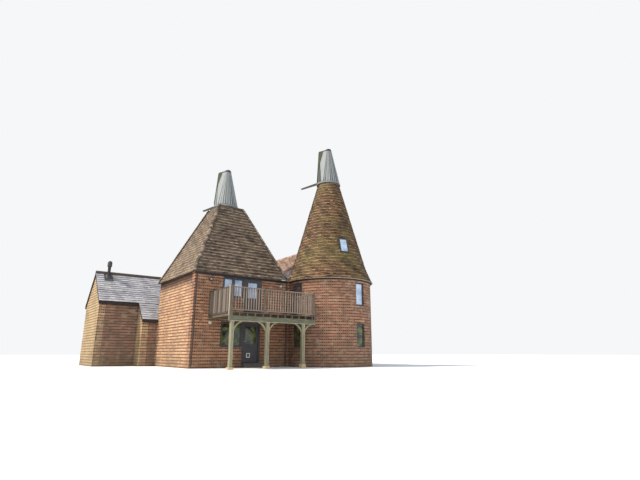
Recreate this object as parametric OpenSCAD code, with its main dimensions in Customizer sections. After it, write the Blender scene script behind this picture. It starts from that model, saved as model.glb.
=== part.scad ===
// Oast house: a square and a round hop kiln with turning cowls, an oak balcony
// between them, a tiled stowage range behind and a low slate wing at the back.
// X runs along the front to the right, Y runs back, Z is up.
// The origin is on the ground at the middle of the square kiln.

/* [Square kiln] */
// Outer width of the square kiln
kiln_w = 5200; // [4900:50:5600]
// Thickness of the brick walls
wall_t = 330; // [260:5:340]
// Height of the brick walls of both kilns
wall_h = 4600; // [4560:10:4800]
// Depth of the lintel over the upper windows
lintel_h = 100; // [75:5:150]
// Reach of the kiln tiles past the walls
eave_out = 100; // [60:5:150]
// Height of the top of the square roof
roof_top_z = 8970; // [8400:10:9500]
// Half width of the flat top of the square roof
roof_top_half = 720; // [700:10:800]
// Thickness of the kiln roofs, measured level
roof_t = 200; // [140:5:230]
// Radius of the rounded hip tiles
hip_r = 75; // [50:5:100]

/* [Round kiln] */
// Outer radius of the round kiln
round_r = 2400; // [2300:10:2500]
// Space between the side walls of the two kilns
kiln_gap = 300; // [260:10:360]
// Reach of the round kiln's centre in front of the front wall
round_forward = 600; // [500:10:700]
// Height of the top of the conical roof
cone_top_z = 10700; // [10200:10:11200]
// Outer radius of the top of the conical roof
cone_top_r = 660; // [650:5:700]
// Height at which the sweep out to the eaves starts
sweep_z = 5700; // [5400:10:6000]
// Extra reach of the swept eaves
sweep_out = 145; // [100:5:180]
// Reach of the eaves past the wall
round_eave_out = 120; // [90:5:150]

/* [Cowls] */
// Radius of a cowl at its foot
cowl_r = 710; // [700:5:760]
// Height of a cowl from its foot to its hood
cowl_h = 2400; // [2200:10:2600]
// Radius of a cowl under its cap
cowl_neck_r = 170; // [150:5:200]
// Reach of the hood over the mouth
hood_reach = 550; // [500:10:600]
// Width of the hood over the mouth
hood_w = 500; // [440:10:540]
// Thickness of the cowl boards
cowl_t = 30; // [22:1:35]
// Turn of the cowl mouths from the rear towards the left
cowl_turn = 13.5; // [0:0.5:30]
// Height of the sill of the mouth
mouth_sill = 300; // [270:10:420]
// Gap between the roof top and the foot of a cowl
cowl_gap = 60; // [50:5:80]
// Reach of the vane from the spindle
vane_reach = 2280; // [2000:10:2500]
// Depth of the vane at the mouth
vane_h = 150; // [120:5:180]
// Radius of the spindle
spindle_r = 45; // [35:1:55]
// Height of the capping disc
cap_h = 60; // [40:5:80]

/* [Openings] */
// Left edge of the window and door pairs in the front wall
front_x0 = -1100; // [-1200:10:-1050]
// Middle post between window and door
front_xm = 110; // [80:5:140]
// Right edge of the doors in the front wall
front_x1 = 1150; // [1100:10:1250]
// Sill of the ground floor windows
sill_z = 990; // [900:10:1100]
// Head of the ground floor openings
head_z = 2240; // [2200:5:2300]
// Sill of the upper window of the square kiln
upper_sill_z = 3450; // [3300:10:3550]
// Depth of timber frames
frame_d = 100; // [80:5:110]
// Face width of timber frames
frame_w = 65; // [50:1:75]
// Set-back of the frames from the wall face
reveal = 40; // [20:5:60]
// Thickness of the double glazing
glass_t = 24; // [18:1:28]
// Width of the small windows
small_w = 620; // [560:10:680]
// Brickwork over the upper windows of the round kiln
round_head_drop = 170; // [150:5:220]
// Direction of the balcony door in the round kiln
balcony_door_a = 183; // [180:1:186]
// Width of the balcony door in the round kiln
balcony_door_w = 960; // [860:10:1000]
// Direction of the window under the balcony door
low_window_a = 185; // [182:1:188]
// Direction of the windows on the front right of the round kiln
side_window_a = 276.5; // [274:0.5:279]
// Direction of the rooflight
rooflight_a = 258.5; // [255:0.5:262]
// Width of the rooflight
rooflight_w = 550; // [480:10:620]
// Height of the rooflight along the slope
rooflight_h = 880; // [760:10:980]
// Height of the middle of the rooflight
rooflight_z = 6550; // [6300:10:6900]

/* [Back door] */
// Thickness of the door leaf
leaf_t = 54; // [44:1:60]
// Gap between the leaf and its frame
leaf_gap = 8; // [8:1:12]
// Width of the door's stiles
stile_w = 130; // [100:5:150]
// Bottom of the glass above the door's foot
door_glass_z = 900; // [820:10:980]
// Side of the cat flap's frame
flap_w = 205; // [180:5:250]
// Height of the cat flap's frame
flap_h = 220; // [190:5:270]
// Height of the bottom of the cat flap's frame above the door's foot
flap_z = 235; // [180:5:280]
// Distance of the cat flap's frame from the door's left stile
flap_in = 108; // [60:1:140]

/* [Balcony] */
// Left end of the balcony
bal_x0 = -1800; // [-1900:10:-1700]
// Depth of the balcony in front of the wall
bal_d = 2395; // [2200:5:2500]
// Underside of the balcony beam
beam_z = 2110; // [2050:5:2180]
// Depth of the balcony beam
beam_h = 235; // [200:5:260]
// Width of the balcony beam and posts
post_w = 150; // [120:5:170]
// Places of the three posts along the balcony
post_xs = [-1640, 200, 2250];
// Heights of the stone pads under the posts
pad_hs = [100, 130, 190];
// Side of the stone pads
pad_w = 240; // [200:10:280]
// Reach of the knee braces
brace = 420; // [360:10:480]
// Thickness of the knee braces
brace_t = 60; // [45:5:80]
// Depth of the joists
joist_h = 150; // [120:5:175]
// Width of the joists
joist_w = 50; // [40:5:60]
// Distance between joists
joist_step = 410; // [380:5:450]
// Thickness of the deck boards
deck_t = 28; // [22:1:35]
// Height of the balustrade above the deck
rail_h = 1157; // [1100:1:1200]
// Side of the newel posts other than the corner one, which is as wide as a post
newel_w = 100; // [80:5:110]
// Side of a baluster
baluster_w = 40; // [30:1:45]
// Distance between balusters
baluster_step = 140; // [120:1:150]
// Place of the newel between the two front bays
newel_mid = 20; // [-40:5:80]

/* [Stowage] */
// Drop of the stowage roof below the kiln eaves at its left wall
stow_drop = 28; // [10:2:60]
// Pitch of the stowage roof
stow_pitch = 41.6; // [39:0.1:44]
// Depth of the tiled and slated roofs, measured upright
slope_t = 200; // [150:5:230]
// Place of the rear wall of the stowage
stow_back = 8400; // [8100:50:9000]
// Overhang of the stowage roof at its free eaves and verge
stow_out = 100; // [60:5:150]
// Places of the windows along the right wall
stow_window_ys = [900, 5200];
// Brickwork between the upper windows and the eaves of the stowage
stow_head_drop = 450; // [400:5:520]

/* [Slate wing] */
// Outer face of the wing's gable wall
wing_x0 = -5550; // [-6000:10:-5200]
// Outer face of the lean-to's end wall
lean_x0 = -3420; // [-3600:10:-3200]
// Height of the slates over the kiln's rear wall line
wing_low_z = 2645; // [2550:5:2750]
// Rise of the slates for each unit of depth
wing_rise = 0.95; // [0.85:0.01:1]
// Distance from the kiln's rear wall to the wing's front wall
wing_front = 1040; // [900:10:1150]
// Distance from the kiln's rear wall to the wing's ridge
wing_ridge = 2910; // [2700:10:3100]
// Overhang of the slates
slate_out = 110; // [60:5:150]
// Radius of the flue
flue_r = 85; // [60:5:110]
// Place of the flue along the wing
flue_x = -4950; // [-5100:10:-4600]

/* [Floors and trim] */
// Ground floor level inside
floor_z = 200; // [150:5:230]
// Upper floor level inside
upper_z = 2620; // [2590:5:2700]
// Thickness of the upper floors
upper_t = 200; // [150:5:230]
// Reach of the door step
step_out = 350; // [250:10:450]
// Radius of the gutters
gutter_r = 56; // [50:1:62]
// Radius of the downpipes
pipe_r = 34; // [30:1:40]
// Radius of the ridge tiles
ridge_r = 125; // [100:5:150]
// Radius of the wall lights
light_r = 85; // [70:5:100]
// Drop of the upper wall lights below the eaves
light_drop = 310; // [250:10:360]

/* [Hidden] */

// Curved pieces: enough sides for a smooth outline
$fn = 96;
// Cut that clears a face
cut = 1;
// Gap left round a curved face that another piece meets
seat = 0.5;
// Gap under a turning piece
rest_gap = 0.3;

half_w = kiln_w / 2;
front_y = -half_w;
rear_y = half_w;
in_half = half_w - wall_t;
eaves_z = wall_h;
upper_head_z = wall_h - lintel_h;

round_x = half_w + kiln_gap + round_r;
round_y = front_y - round_forward;
round_in = round_r - wall_t;

// Outer radius of the conical roof at a height, with its sweep to the eaves
function cone_line(z) = cone_top_r
  + (cone_top_z - z) * (round_r + round_eave_out - sweep_out - cone_top_r) / (cone_top_z - eaves_z);
function cone_sweep(z) = z < sweep_z ? sweep_out * pow((sweep_z - z) / (sweep_z - eaves_z), 2) : 0;
function cone_r(z) = cone_line(z) + cone_sweep(z);
sweep_steps = 5;
cone_zs = concat([for (i = [0:sweep_steps]) eaves_z + i * (sweep_z - eaves_z) / sweep_steps],
  [cone_top_z]);
cone_tilt = atan((cone_line(eaves_z) - cone_top_r) / (cone_top_z - eaves_z));

round_head_z = wall_h - round_head_drop;
stow_head_z = wall_h - stow_head_drop;
stow_eave_z = eaves_z - stow_drop;
stow_half = round_x - half_w;
stow_x1 = half_w + 2 * stow_half;
stow_rise = tan(stow_pitch);
stow_ridge_z = stow_eave_z + stow_half * stow_rise;
function stow_z(x) = stow_ridge_z - abs(x - round_x) * stow_rise;

wing_front_y = rear_y + wing_front;
wing_ridge_y = rear_y + wing_ridge;
wing_rear_y = 2 * wing_ridge_y - wing_front_y;
wing_ridge_z = wing_low_z + wing_ridge * wing_rise;
function wing_z(y) = wing_ridge_z - abs(y - wing_ridge_y) * wing_rise;
wing_slope_t = slope_t * 0.9;

bal_front_y = front_y - bal_d;
bal_x1 = half_w + kiln_gap + 60;
joist_z = beam_z + beam_h;
deck_z = joist_z + joist_h;
deck_top = deck_z + deck_t;
rail_top = deck_top + rail_h;
rail_depth = 45;
low_rail_z = deck_top + 80;
low_rail_h = 40;
newel_rise = 66;

pipe_off = 70;
pipe_xs = [-half_w + 70, half_w + 100];
pipe_y = front_y - pipe_off;
fascia_t = 20;

// A block given by its low and high corners
module block(low, high) {
  translate(low) cube([high[0] - low[0], high[1] - low[1], high[2] - low[2]]);
}

// A profile in X and Z drawn along Y from y0 to y1
module along_y(y0, y1) {
  translate([0, y1, 0]) rotate([90, 0, 0]) linear_extrude(y1 - y0) children();
}

// A profile in Y and Z drawn along X from x0 to x1
module along_x(x0, x1) {
  translate([x0, 0, 0]) rotate([90, 0, 90]) linear_extrude(x1 - x0) children();
}

// Moves to the round kiln's axis and turns towards a direction
module at_round(a = 0) {
  translate([round_x, round_y, 0]) rotate([0, 0, a]) children();
}

// Outer solid of the round kiln with its roof, grown for a clearance. Flat pieces keep the curve's clearance.
curve_gap = 3;
module round_outline(grow = 0) {
  at_round() rotate_extrude()
    polygon(concat([[0, -cut], [round_r + grow, -cut], [round_r + grow, eaves_z - rest_gap],
      [cone_r(eaves_z) + grow, eaves_z - rest_gap]],
      [for (z = cone_zs) [cone_r(z) + grow, z]], [[0, cone_top_z]]));
}

// Everything under the outer surface of the stowage roof
module stow_outline(y0, y1) {
  along_y(y0, y1)
    polygon([[half_w, 0], [half_w, stow_eave_z], [round_x, stow_ridge_z],
      [stow_x1 + stow_out, stow_z(stow_x1 + stow_out)], [stow_x1 + stow_out, 0]]);
}

// Walls of the square kiln
module front_slab(x0, x1, z0, z1) {
  block([x0, front_y, z0], [x1, front_y + wall_t, z1]);
}

module square_kiln_front_wall_left() {
  color("sienna") front_slab(-half_w, front_x0, 0, wall_h);
}

module square_kiln_front_wall_right() {
  color("sienna") {
    front_slab(front_x1, half_w, 0, wall_h);
    difference() {
      along_y(front_y, front_y + wall_t) under_stow_soffit(half_w, round_x);
      round_outline(curve_gap);
    }
  }
}

module square_kiln_wall_under_windows() {
  color("sienna") {
    front_slab(front_x0, front_xm, 0, sill_z);
    front_slab(front_x0, front_xm, upper_z, upper_sill_z);
  }
}

module square_kiln_wall_over_door() {
  color("sienna") {
    front_slab(front_x0, front_x1, head_z, upper_z);
    front_slab(front_x0, front_x1, upper_head_z, wall_h);
  }
}

module square_kiln_side_walls() {
  color("peru") for (s = [-1, 1])
    block([s * (half_w - wall_t / 2) - wall_t / 2, -in_half, 0],
      [s * (half_w - wall_t / 2) + wall_t / 2, in_half, wall_h]);
}

module square_kiln_back_wall() {
  color("sienna") block([-half_w, in_half, 0], [half_w, rear_y, wall_h]);
}

// One of the two crossed prisms whose common part is the square roof
module roof_prism(base, top, z0, z1) {
  along_y(-base, base) polygon([[-base, z0], [base, z0], [top, z1], [-top, z1]]);
}

module square_pyramid(base, top, z0, z1) {
  intersection() {
    roof_prism(base, top, z0, z1);
    rotate([0, 0, 90]) roof_prism(base, top, z0, z1);
  }
}

roof_base = half_w + eave_out;
roof_slope = (roof_base - roof_top_half) / (roof_top_z - eaves_z);

// One slope of the square roof, mitred at its hips, facing a direction
module roof_slope_slab(a) {
  reach = roof_base * 2;
  difference() {
    intersection() {
      square_pyramid(roof_base, roof_top_half, eaves_z, roof_top_z);
      rotate([0, 0, a]) linear_extrude(roof_top_z + reach) polygon([[0, 0], [-reach, -reach], [reach, -reach]]);
    }
    square_pyramid(roof_base - roof_t + roof_slope * cut, roof_top_half - roof_t - roof_slope * cut,
      eaves_z - cut, roof_top_z + cut);
    stow_outline(front_y - wall_t, rear_y + wall_t);
  }
}

module square_kiln_roof_front_back() {
  color("dimgray") for (a = [0, 180]) roof_slope_slab(a);
}

module square_kiln_roof_sides() {
  color("dimgray") for (a = [90, 270]) roof_slope_slab(a);
}

// Round bars along the four hips
module hip_bars() {
  run = roof_base - roof_top_half;
  rise = roof_top_z - eaves_z;
  lean = atan(run * sqrt(2) / rise);
  reach = sqrt(2 * run * run + rise * rise);
  for (a = [45, 135, 225, 315])
    rotate([0, 0, a]) translate([roof_base * sqrt(2), 0, eaves_z]) rotate([0, -lean, 0])
      cylinder(h = reach, r = hip_r);
}

// Rounded tiles over the four hips, seated on the slopes
module square_kiln_hip_tiles() {
  color("darkslategray") difference() {
    hip_bars();
    square_pyramid(roof_base, roof_top_half, eaves_z, roof_top_z);
    block([-roof_base * 2, -roof_base * 2, eaves_z - hip_r * 3],
      [roof_base * 2, roof_base * 2, eaves_z]);
    block([-roof_base, -roof_base, roof_top_z], [roof_base, roof_base, roof_top_z + hip_r * 3]);
    stow_outline(front_y - wall_t, rear_y + wall_t);
  }
}

// A stretch of the round wall between two directions
module round_wall(a0, a1) {
  at_round(a0 + joint_a) rotate_extrude(angle = a1 - a0 - 2 * joint_a)
    translate([round_in, 0]) square([wall_t, wall_h - rest_gap]);
}

// A straight opening through the round wall
module round_hole(a, w, z0, z1) {
  at_round(a) block([round_in - wall_t / 2, -w / 2, z0], [round_r + wall_t / 2, w / 2, z1]);
}

// Angle that leaves a fine joint beside a curved segment
joint_a = seat / round_r * 180 / PI / 2;
door_side_a = [166, 200];
window_side_a = [262, 291];
right_a = 405;

module round_kiln_wall_front_back() {
  color("sienna") {
    round_wall(door_side_a[1], window_side_a[0]);
    round_wall(right_a, door_side_a[0] + 360);
  }
}

module round_kiln_wall_window_side() {
  color("sienna") difference() {
    round_wall(window_side_a[0], window_side_a[1]);
    round_hole(side_window_a, small_w, sill_z, head_z);
    round_hole(side_window_a, small_w, round_head_z - (head_z - sill_z), round_head_z);
  }
}

module round_kiln_wall_right() {
  color("sienna") round_wall(window_side_a[1], right_a);
}

module round_kiln_wall_door_side() {
  color("sienna") difference() {
    round_wall(door_side_a[0], door_side_a[1]);
    round_hole(balcony_door_a, balcony_door_w, upper_z, round_head_z);
    round_hole(low_window_a, small_w, sill_z, head_z);
  }
}

// Places a piece on the slope of the conical roof, X out of the slope, Z up it
module on_cone(a, z) {
  at_round(a) translate([cone_line(z), 0, z]) rotate([0, -cone_tilt, 0]) children();
}

// One of the eight bays of the conical roof, from a direction on
bay_a = 45;
module cone_bay(a) {
  top = len(cone_zs) - 1;
  at_round(a + joint_a) rotate_extrude(angle = bay_a - 2 * joint_a)
    polygon(concat([for (z = cone_zs) [cone_r(z), z]],
      [for (i = [top:-1:0]) [cone_r(cone_zs[i]) - roof_t, cone_zs[i]]]));
}

module round_kiln_roof_bays() {
  color("saddlebrown") for (a = [0, 90, 180, 270]) cone_bay(a);
}

module round_kiln_roof_between() {
  color("saddlebrown") difference() {
    for (a = [45, 135, 225, 315]) cone_bay(a);
    on_cone(rooflight_a, rooflight_z)
      block([-roof_t * 2, -rooflight_w / 2, -rooflight_h / 2], [roof_t * 2, rooflight_w / 2, rooflight_h / 2]);
  }
}

// Floor plans, each inside its own walls
module square_plan() {
  translate([-in_half, -in_half]) square(2 * in_half);
}

module round_plan() {
  translate([round_x, round_y]) circle(r = round_in - seat);
}

module stow_plan() {
  difference() {
    union() {
      translate([half_w, front_y + wall_t]) square([stow_x1 - wall_t - half_w, rear_y - front_y - wall_t]);
      translate([half_w + wall_t, rear_y - cut])
        square([stow_x1 - half_w - 2 * wall_t, stow_back - wall_t - rear_y + cut]);
    }
    translate([round_x, round_y]) circle(r = round_r + seat);
  }
}

module wing_plan() {
  translate([wing_x0 + wall_t, wing_front_y + wall_t])
    square([half_w - wing_x0 - wall_t, wing_rear_y - wing_front_y - 2 * wall_t]);
  translate([lean_x0 + wall_t, rear_y + wall_t])
    square([half_w - lean_x0 - wall_t, wing_front]);
  translate([-half_w, rear_y]) square([kiln_w, wing_front]);
}

module ground_floors() {
  color("lightgray") {
    linear_extrude(floor_z) square_plan();
    linear_extrude(floor_z) round_plan();
    linear_extrude(floor_z) stow_plan();
    linear_extrude(floor_z) wing_plan();
  }
}

module upper_floors() {
  color("burlywood") translate([0, 0, upper_z - upper_t]) {
    linear_extrude(upper_t) square_plan();
    linear_extrude(upper_t) round_plan();
    linear_extrude(upper_t) stow_plan();
  }
}

module door_step() {
  color("darkgray") block([front_xm, front_y - step_out, 0], [front_x1, front_y + wall_t, floor_z]);
}

// Stowage range
module stow_windows() {
  for (y = stow_window_ys, z = [head_z, stow_head_z])
    block([stow_x1 - wall_t - cut, y - small_w / 2, z - (head_z - sill_z)], [stow_x1 + cut, y + small_w / 2, z]);
  for (z = [head_z, stow_head_z])
    block([round_x - small_w / 2, stow_back - wall_t - cut, z - (head_z - sill_z)],
      [round_x + small_w / 2, stow_back + cut, z]);
}

module under_stow_soffit(x0, x1) {
  drop = slope_t + rest_gap;
  polygon([[x0, 0], [x1, 0], [x1, stow_z(x1) - drop], [x0, stow_z(x0) - drop]]);
}

module stowage_long_walls() {
  color("sienna") difference() {
    union() {
      along_y(rear_y, stow_back - wall_t) under_stow_soffit(half_w, half_w + wall_t);
      along_y(front_y + wall_t, stow_back - wall_t) under_stow_soffit(stow_x1 - wall_t, stow_x1);
    }
    stow_windows();
  }
}

module stowage_end_walls() {
  color("sienna") difference() {
    union() {
      along_y(stow_back - wall_t, stow_back) {
        under_stow_soffit(half_w, round_x);
        under_stow_soffit(round_x, stow_x1);
      }
      along_y(front_y, front_y + wall_t) under_stow_soffit(round_x, stow_x1);
    }
    stow_windows();
    round_outline(seat);
  }
}

module stowage_roof_left() {
  color("rosybrown") difference() {
    along_y(front_y, stow_back + stow_out)
      polygon([[half_w, stow_eave_z - slope_t], [half_w, stow_eave_z],
        [round_x, stow_ridge_z], [round_x, stow_ridge_z - slope_t]]);
    round_outline(seat);
  }
}

module stowage_roof_right() {
  end_x = stow_x1 + stow_out;
  color("rosybrown") difference() {
    along_y(front_y, stow_back + stow_out)
      polygon([[round_x, stow_ridge_z - slope_t], [round_x, stow_ridge_z],
        [end_x, stow_z(end_x)], [end_x, stow_z(end_x) - slope_t]]);
    round_outline(seat);
  }
}

// Slate wing with its lean-to beside the square kiln
module under_wing_soffit(y0, y1) {
  drop = wing_slope_t + rest_gap;
  polygon([[y0, 0], [y1, 0], [y1, wing_z(y1) - drop], [y0, wing_z(y0) - drop]]);
}

module wing_window() {
  block([-half_w / 2 - small_w / 2, wing_rear_y - wall_t - cut, sill_z],
    [-half_w / 2 + small_w / 2, wing_rear_y + cut, head_z]);
}

module wing_side_walls() {
  color("sienna") difference() {
    union() {
      along_x(wing_x0 + wall_t, lean_x0) under_wing_soffit(wing_front_y, wing_front_y + wall_t);
      along_x(lean_x0 + wall_t, -half_w) under_wing_soffit(rear_y, rear_y + wall_t);
      along_x(wing_x0 + wall_t, half_w) under_wing_soffit(wing_rear_y - wall_t, wing_rear_y);
    }
    wing_window();
  }
}

module wing_end_walls() {
  color("goldenrod") {
    along_x(wing_x0, wing_x0 + wall_t) {
      under_wing_soffit(wing_front_y, wing_ridge_y);
      under_wing_soffit(wing_ridge_y, wing_rear_y);
    }
    along_x(lean_x0, lean_x0 + wall_t) under_wing_soffit(rear_y, wing_front_y + wall_t);
  }
}

// A band of slates between two depths
module slates(x0, x1, y0, y1) {
  along_x(x0, x1)
    polygon([[y0, wing_z(y0) - wing_slope_t], [y1, wing_z(y1) - wing_slope_t],
      [y1, wing_z(y1)], [y0, wing_z(y0)]]);
}

wing_end_x = half_w + (wing_ridge_z - stow_eave_z) / stow_rise + slope_t;

module wing_roof_front() {
  color("lightsteelblue") difference() {
    union() {
      slates(wing_x0 - slate_out / 2, wing_end_x, wing_front_y - slate_out, wing_ridge_y);
      slates(lean_x0 - slate_out / 2, -half_w, rear_y - slate_out, wing_ridge_y);
      slates(-half_w - cut, half_w, rear_y, wing_ridge_y);
    }
    stow_outline(0, stow_back);
  }
}

module wing_roof_rear() {
  color("lightsteelblue") difference() {
    slates(wing_x0 - slate_out / 2, wing_end_x, wing_ridge_y, wing_rear_y + slate_out);
    stow_outline(0, stow_back);
  }
}

flue_in = 320;
flue_y = wing_ridge_y - flue_in;
flue_top = 6040;
flue_plate = 380;
module wing_flue() {
  color("black") {
    difference() {
      translate([flue_x, flue_y, wing_z(flue_y) - flue_r])
        cylinder(h = flue_top - wing_z(flue_y) + flue_r, r = flue_r);
      slates(wing_x0, wing_end_x, wing_front_y, wing_ridge_y);
    }
    translate([flue_x, flue_y, flue_top]) cylinder(h = 60, r1 = flue_r * 1.35, r2 = flue_r * 0.5);
  }
  color("gray") difference() {
    translate([flue_x, flue_y, wing_z(flue_y)]) rotate([atan(wing_rise), 0, 0])
      translate([-flue_plate / 2, -flue_plate / 2, 0]) cube([flue_plate, flue_plate, 12]);
    translate([flue_x, flue_y, 0]) cylinder(h = flue_top, r = flue_r);
  }
}

// Ridge tiles bedded on both slopes
module ridge_tiles() {
  cone_rear = round_y + sqrt(pow(cone_r(stow_ridge_z + ridge_r), 2)) + ridge_r;
  color("firebrick") {
    difference() {
      translate([round_x, cone_rear, stow_ridge_z - ridge_r / 3]) rotate([-90, 0, 0])
        cylinder(h = stow_back + stow_out - cone_rear, r = ridge_r);
      stow_outline(front_y, stow_back + 2 * stow_out);
    }
    difference() {
      translate([wing_x0 - slate_out / 2, wing_ridge_y, wing_ridge_z - ridge_r / 3]) rotate([0, 90, 0])
        cylinder(h = wing_end_x - wing_x0, r = ridge_r);
      along_x(wing_x0 - slate_out, wing_end_x + ridge_r * 3)
        polygon([[wing_front_y, 0], [wing_front_y, wing_z(wing_front_y)], [wing_ridge_y, wing_ridge_z],
          [wing_rear_y, wing_z(wing_rear_y)], [wing_rear_y, 0]]);
      stow_outline(front_y, stow_back);
    }
  }
}

// Lead in the valley between the square kiln and the stowage, with an apron at the front
lead_t = 10;
lead_reach = 190;
apron_out = 120;
module valley_lead() {
  color("slategray") difference() {
    union() {
      along_y(front_y, rear_y)
        polygon([[half_w, stow_eave_z], [half_w + lead_reach, stow_z(half_w + lead_reach)],
          [half_w + lead_reach, stow_z(half_w + lead_reach) + lead_t],
          [half_w, stow_eave_z + lead_t]]);
      block([half_w + eave_out, front_y - apron_out, eaves_z], [half_w + kiln_gap, front_y, eaves_z + lead_t]);
      along_y(front_y - lead_t, front_y)
        polygon([[half_w + eave_out, eaves_z], [half_w + lead_reach, eaves_z],
          [half_w + lead_reach, stow_z(half_w + lead_reach) + lead_t],
          [half_w + eave_out, stow_z(half_w + eave_out) + lead_t]]);
    }
    square_pyramid(roof_base, roof_top_half, eaves_z, roof_top_z);
    hip_bars();
    round_outline(curve_gap);
    block([half_w - cut, rear_y - wall_t, 0], [stow_x1, rear_y, eaves_z + lead_t * 2]);
  }
}

// Gutter with its fascia along the front eaves
gutter_z = eaves_z - 10;
gutter_in = fascia_t + gutter_r - 6;
module gutter_profile() {
  difference() {
    union() {
      translate([gutter_in, gutter_z]) circle(r = gutter_r);
      translate([0, gutter_z - lintel_h]) square([fascia_t, lintel_h + 10]);
    }
    translate([gutter_in, gutter_z]) circle(r = gutter_r - 5);
    translate([fascia_t, gutter_z]) square([gutter_r * 3, gutter_r * 2]);
    translate([0, eaves_z]) square([gutter_r * 3, gutter_r * 2]);
  }
}

module gutter() {
  color("black") along_x(-half_w, pipe_xs[1] + pipe_r + 20)
    translate([front_y, 0]) mirror([1, 0]) gutter_profile();
}

// A downpipe under the gutter and clear of the ground, in clips fixed to the wall
clip_off = 300;
clip_h = 40;
clip_lip = 8;
pipe_wall = 3;
module downpipe(x) {
  foot = floor_z / 2;
  top = gutter_z - gutter_r - rest_gap;
  difference() {
    translate([x, pipe_y, foot]) cylinder(h = top - foot, r = pipe_r);
    translate([x, pipe_y, foot - cut]) cylinder(h = top - foot + 2 * cut, r = pipe_r - pipe_wall);
  }
  difference() {
    for (z = [floor_z + clip_off, upper_z - clip_off, eaves_z - upper_t - clip_off])
      block([x - pipe_r - clip_lip, pipe_y - clip_lip, z], [x + pipe_r + clip_lip, front_y, z + clip_h]);
    translate([x, pipe_y, 0]) cylinder(h = eaves_z, r = pipe_r + rest_gap);
  }
}

module downpipes() {
  color("black") for (x = pipe_xs) downpipe(x);
}

// Bulkhead lights on the front wall, two under the eaves and one beside the window
light_in = 830;
right_light_in = 260;
light_base = 30;
light_lens = 45;
module wall_lights() {
  upper = eaves_z - light_drop;
  color("whitesmoke")
    for (p = [[light_in - half_w, upper], [light_in + light_r - half_w, head_z - light_r], [half_w - right_light_in, upper]])
      translate([p[0], front_y, p[1]]) rotate([90, 0, 0]) {
        cylinder(h = light_base, r = light_r);
        translate([0, 0, light_base]) cylinder(h = light_lens, r1 = light_r * 0.9, r2 = light_r * 0.6);
      }
}

// Balcony
module balcony_posts() {
  color("darkseagreen") for (i = [0:len(post_xs) - 1])
    block([post_xs[i] - post_w / 2, bal_front_y, pad_hs[i]], [post_xs[i] + post_w / 2, bal_front_y + post_w, beam_z]);
}

module balcony_pads() {
  edge = (pad_w - post_w) / 2;
  color("wheat") for (i = [0:len(post_xs) - 1])
    block([post_xs[i] - pad_w / 2, bal_front_y - edge, 0], [post_xs[i] + pad_w / 2, bal_front_y + post_w + edge, pad_hs[i]]);
}

// Beam on the posts, and the ledger along the wall
ledger_t = 50;
module balcony_beam() {
  color("darkseagreen") {
    block([bal_x0, bal_front_y, beam_z], [bal_x1, bal_front_y + post_w, joist_z]);
    block([bal_x0, front_y - ledger_t, joist_z], [pipe_xs[1] - pipe_r - 30, front_y, deck_z]);
  }
}

// Curved brace to the right of a post face, in X and Z
module brace_profile() {
  intersection() {
    translate([brace * 1.5, -brace * 1.5]) difference() {
      circle(r = brace * 1.581 + 35);
      circle(r = brace * 1.581 - 35);
    }
    translate([0, -brace]) square(brace);
  }
}

module balcony_braces() {
  y0 = bal_front_y + (post_w - brace_t) / 2;
  color("darkseagreen") for (i = [0:len(post_xs) - 1], s = [-1, 1])
    if (i > 0 || s > 0)
      translate([post_xs[i] + s * post_w / 2, y0 + brace_t, beam_z]) rotate([90, 0, 0])
        linear_extrude(brace_t) mirror([s < 0 ? 1 : 0, 0]) brace_profile();
}

joist_x0 = bal_x0 + 75;
joist_n = floor((bal_x1 - joist_x0 - joist_w) / joist_step);
module balcony_joists() {
  color("tan") {
    for (i = [0:joist_n])
      block([joist_x0 + i * joist_step - joist_w / 2, i == 0 ? bal_front_y + post_w : bal_front_y, joist_z],
        [joist_x0 + i * joist_step + joist_w / 2, front_y - ledger_t, deck_z]);
    block([bal_x1 - joist_w, bal_front_y, joist_z], [bal_x1, round_y - round_r / 4, deck_z]);
  }
}

module balcony_deck() {
  color("tan") difference() {
    block([bal_x0, bal_front_y - 20, deck_z], [bal_x1, front_y, deck_top]);
    round_outline(seat);
    block([bal_x0 - cut, bal_front_y - 20 - cut, deck_z - cut], [bal_x0 + post_w, bal_front_y + post_w, deck_top + cut]);
    translate([pipe_xs[1], pipe_y, deck_z - cut]) cylinder(h = deck_t + 2 * cut, r = pipe_r + 8);
  }
}

newel_ws = [post_w, newel_w, newel_w];
newel_xs = [bal_x0 + post_w / 2, newel_mid, bal_x1 - newel_w / 2];
module balcony_newels() {
  color("rosybrown") for (i = [0:2])
    block([newel_xs[i] - newel_ws[i] / 2, bal_front_y, i == 0 ? joist_z : deck_top],
      [newel_xs[i] + newel_ws[i] / 2, bal_front_y + newel_ws[i], rail_top + (i == 0 ? newel_rise : 0)]);
}

// A bay of balustrade along X, from 0 to a length, centred on Y
module bay(length) {
  count = round(length / baluster_step) - 1;
  gap = length / (count + 1);
  block([0, -newel_w * 0.45, rail_top - rail_depth], [length, newel_w * 0.45, rail_top]);
  block([0, -30, low_rail_z], [length, 30, low_rail_z + low_rail_h]);
  for (i = [1:count])
    block([i * gap - baluster_w / 2, -baluster_w / 2, low_rail_z + low_rail_h - cut],
      [i * gap + baluster_w / 2, baluster_w / 2, rail_top - rail_depth + cut]);
}

module balcony_front_railing() {
  color("rosybrown") for (i = [0, 1])
    translate([newel_xs[i] + newel_ws[i] / 2, bal_front_y + newel_w / 2, 0])
      bay(newel_xs[i + 1] - newel_ws[i + 1] / 2 - newel_xs[i] - newel_ws[i] / 2);
}

module balcony_return_railing() {
  x = newel_xs[2];
  length = round_y - sqrt(round_r * round_r - pow(round_x - x, 2)) - bal_front_y - newel_w;
  color("rosybrown") difference() {
    translate([x, bal_front_y + newel_w, 0]) rotate([0, 0, 90]) bay(length + 30);
    round_outline(seat);
  }
}

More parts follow.
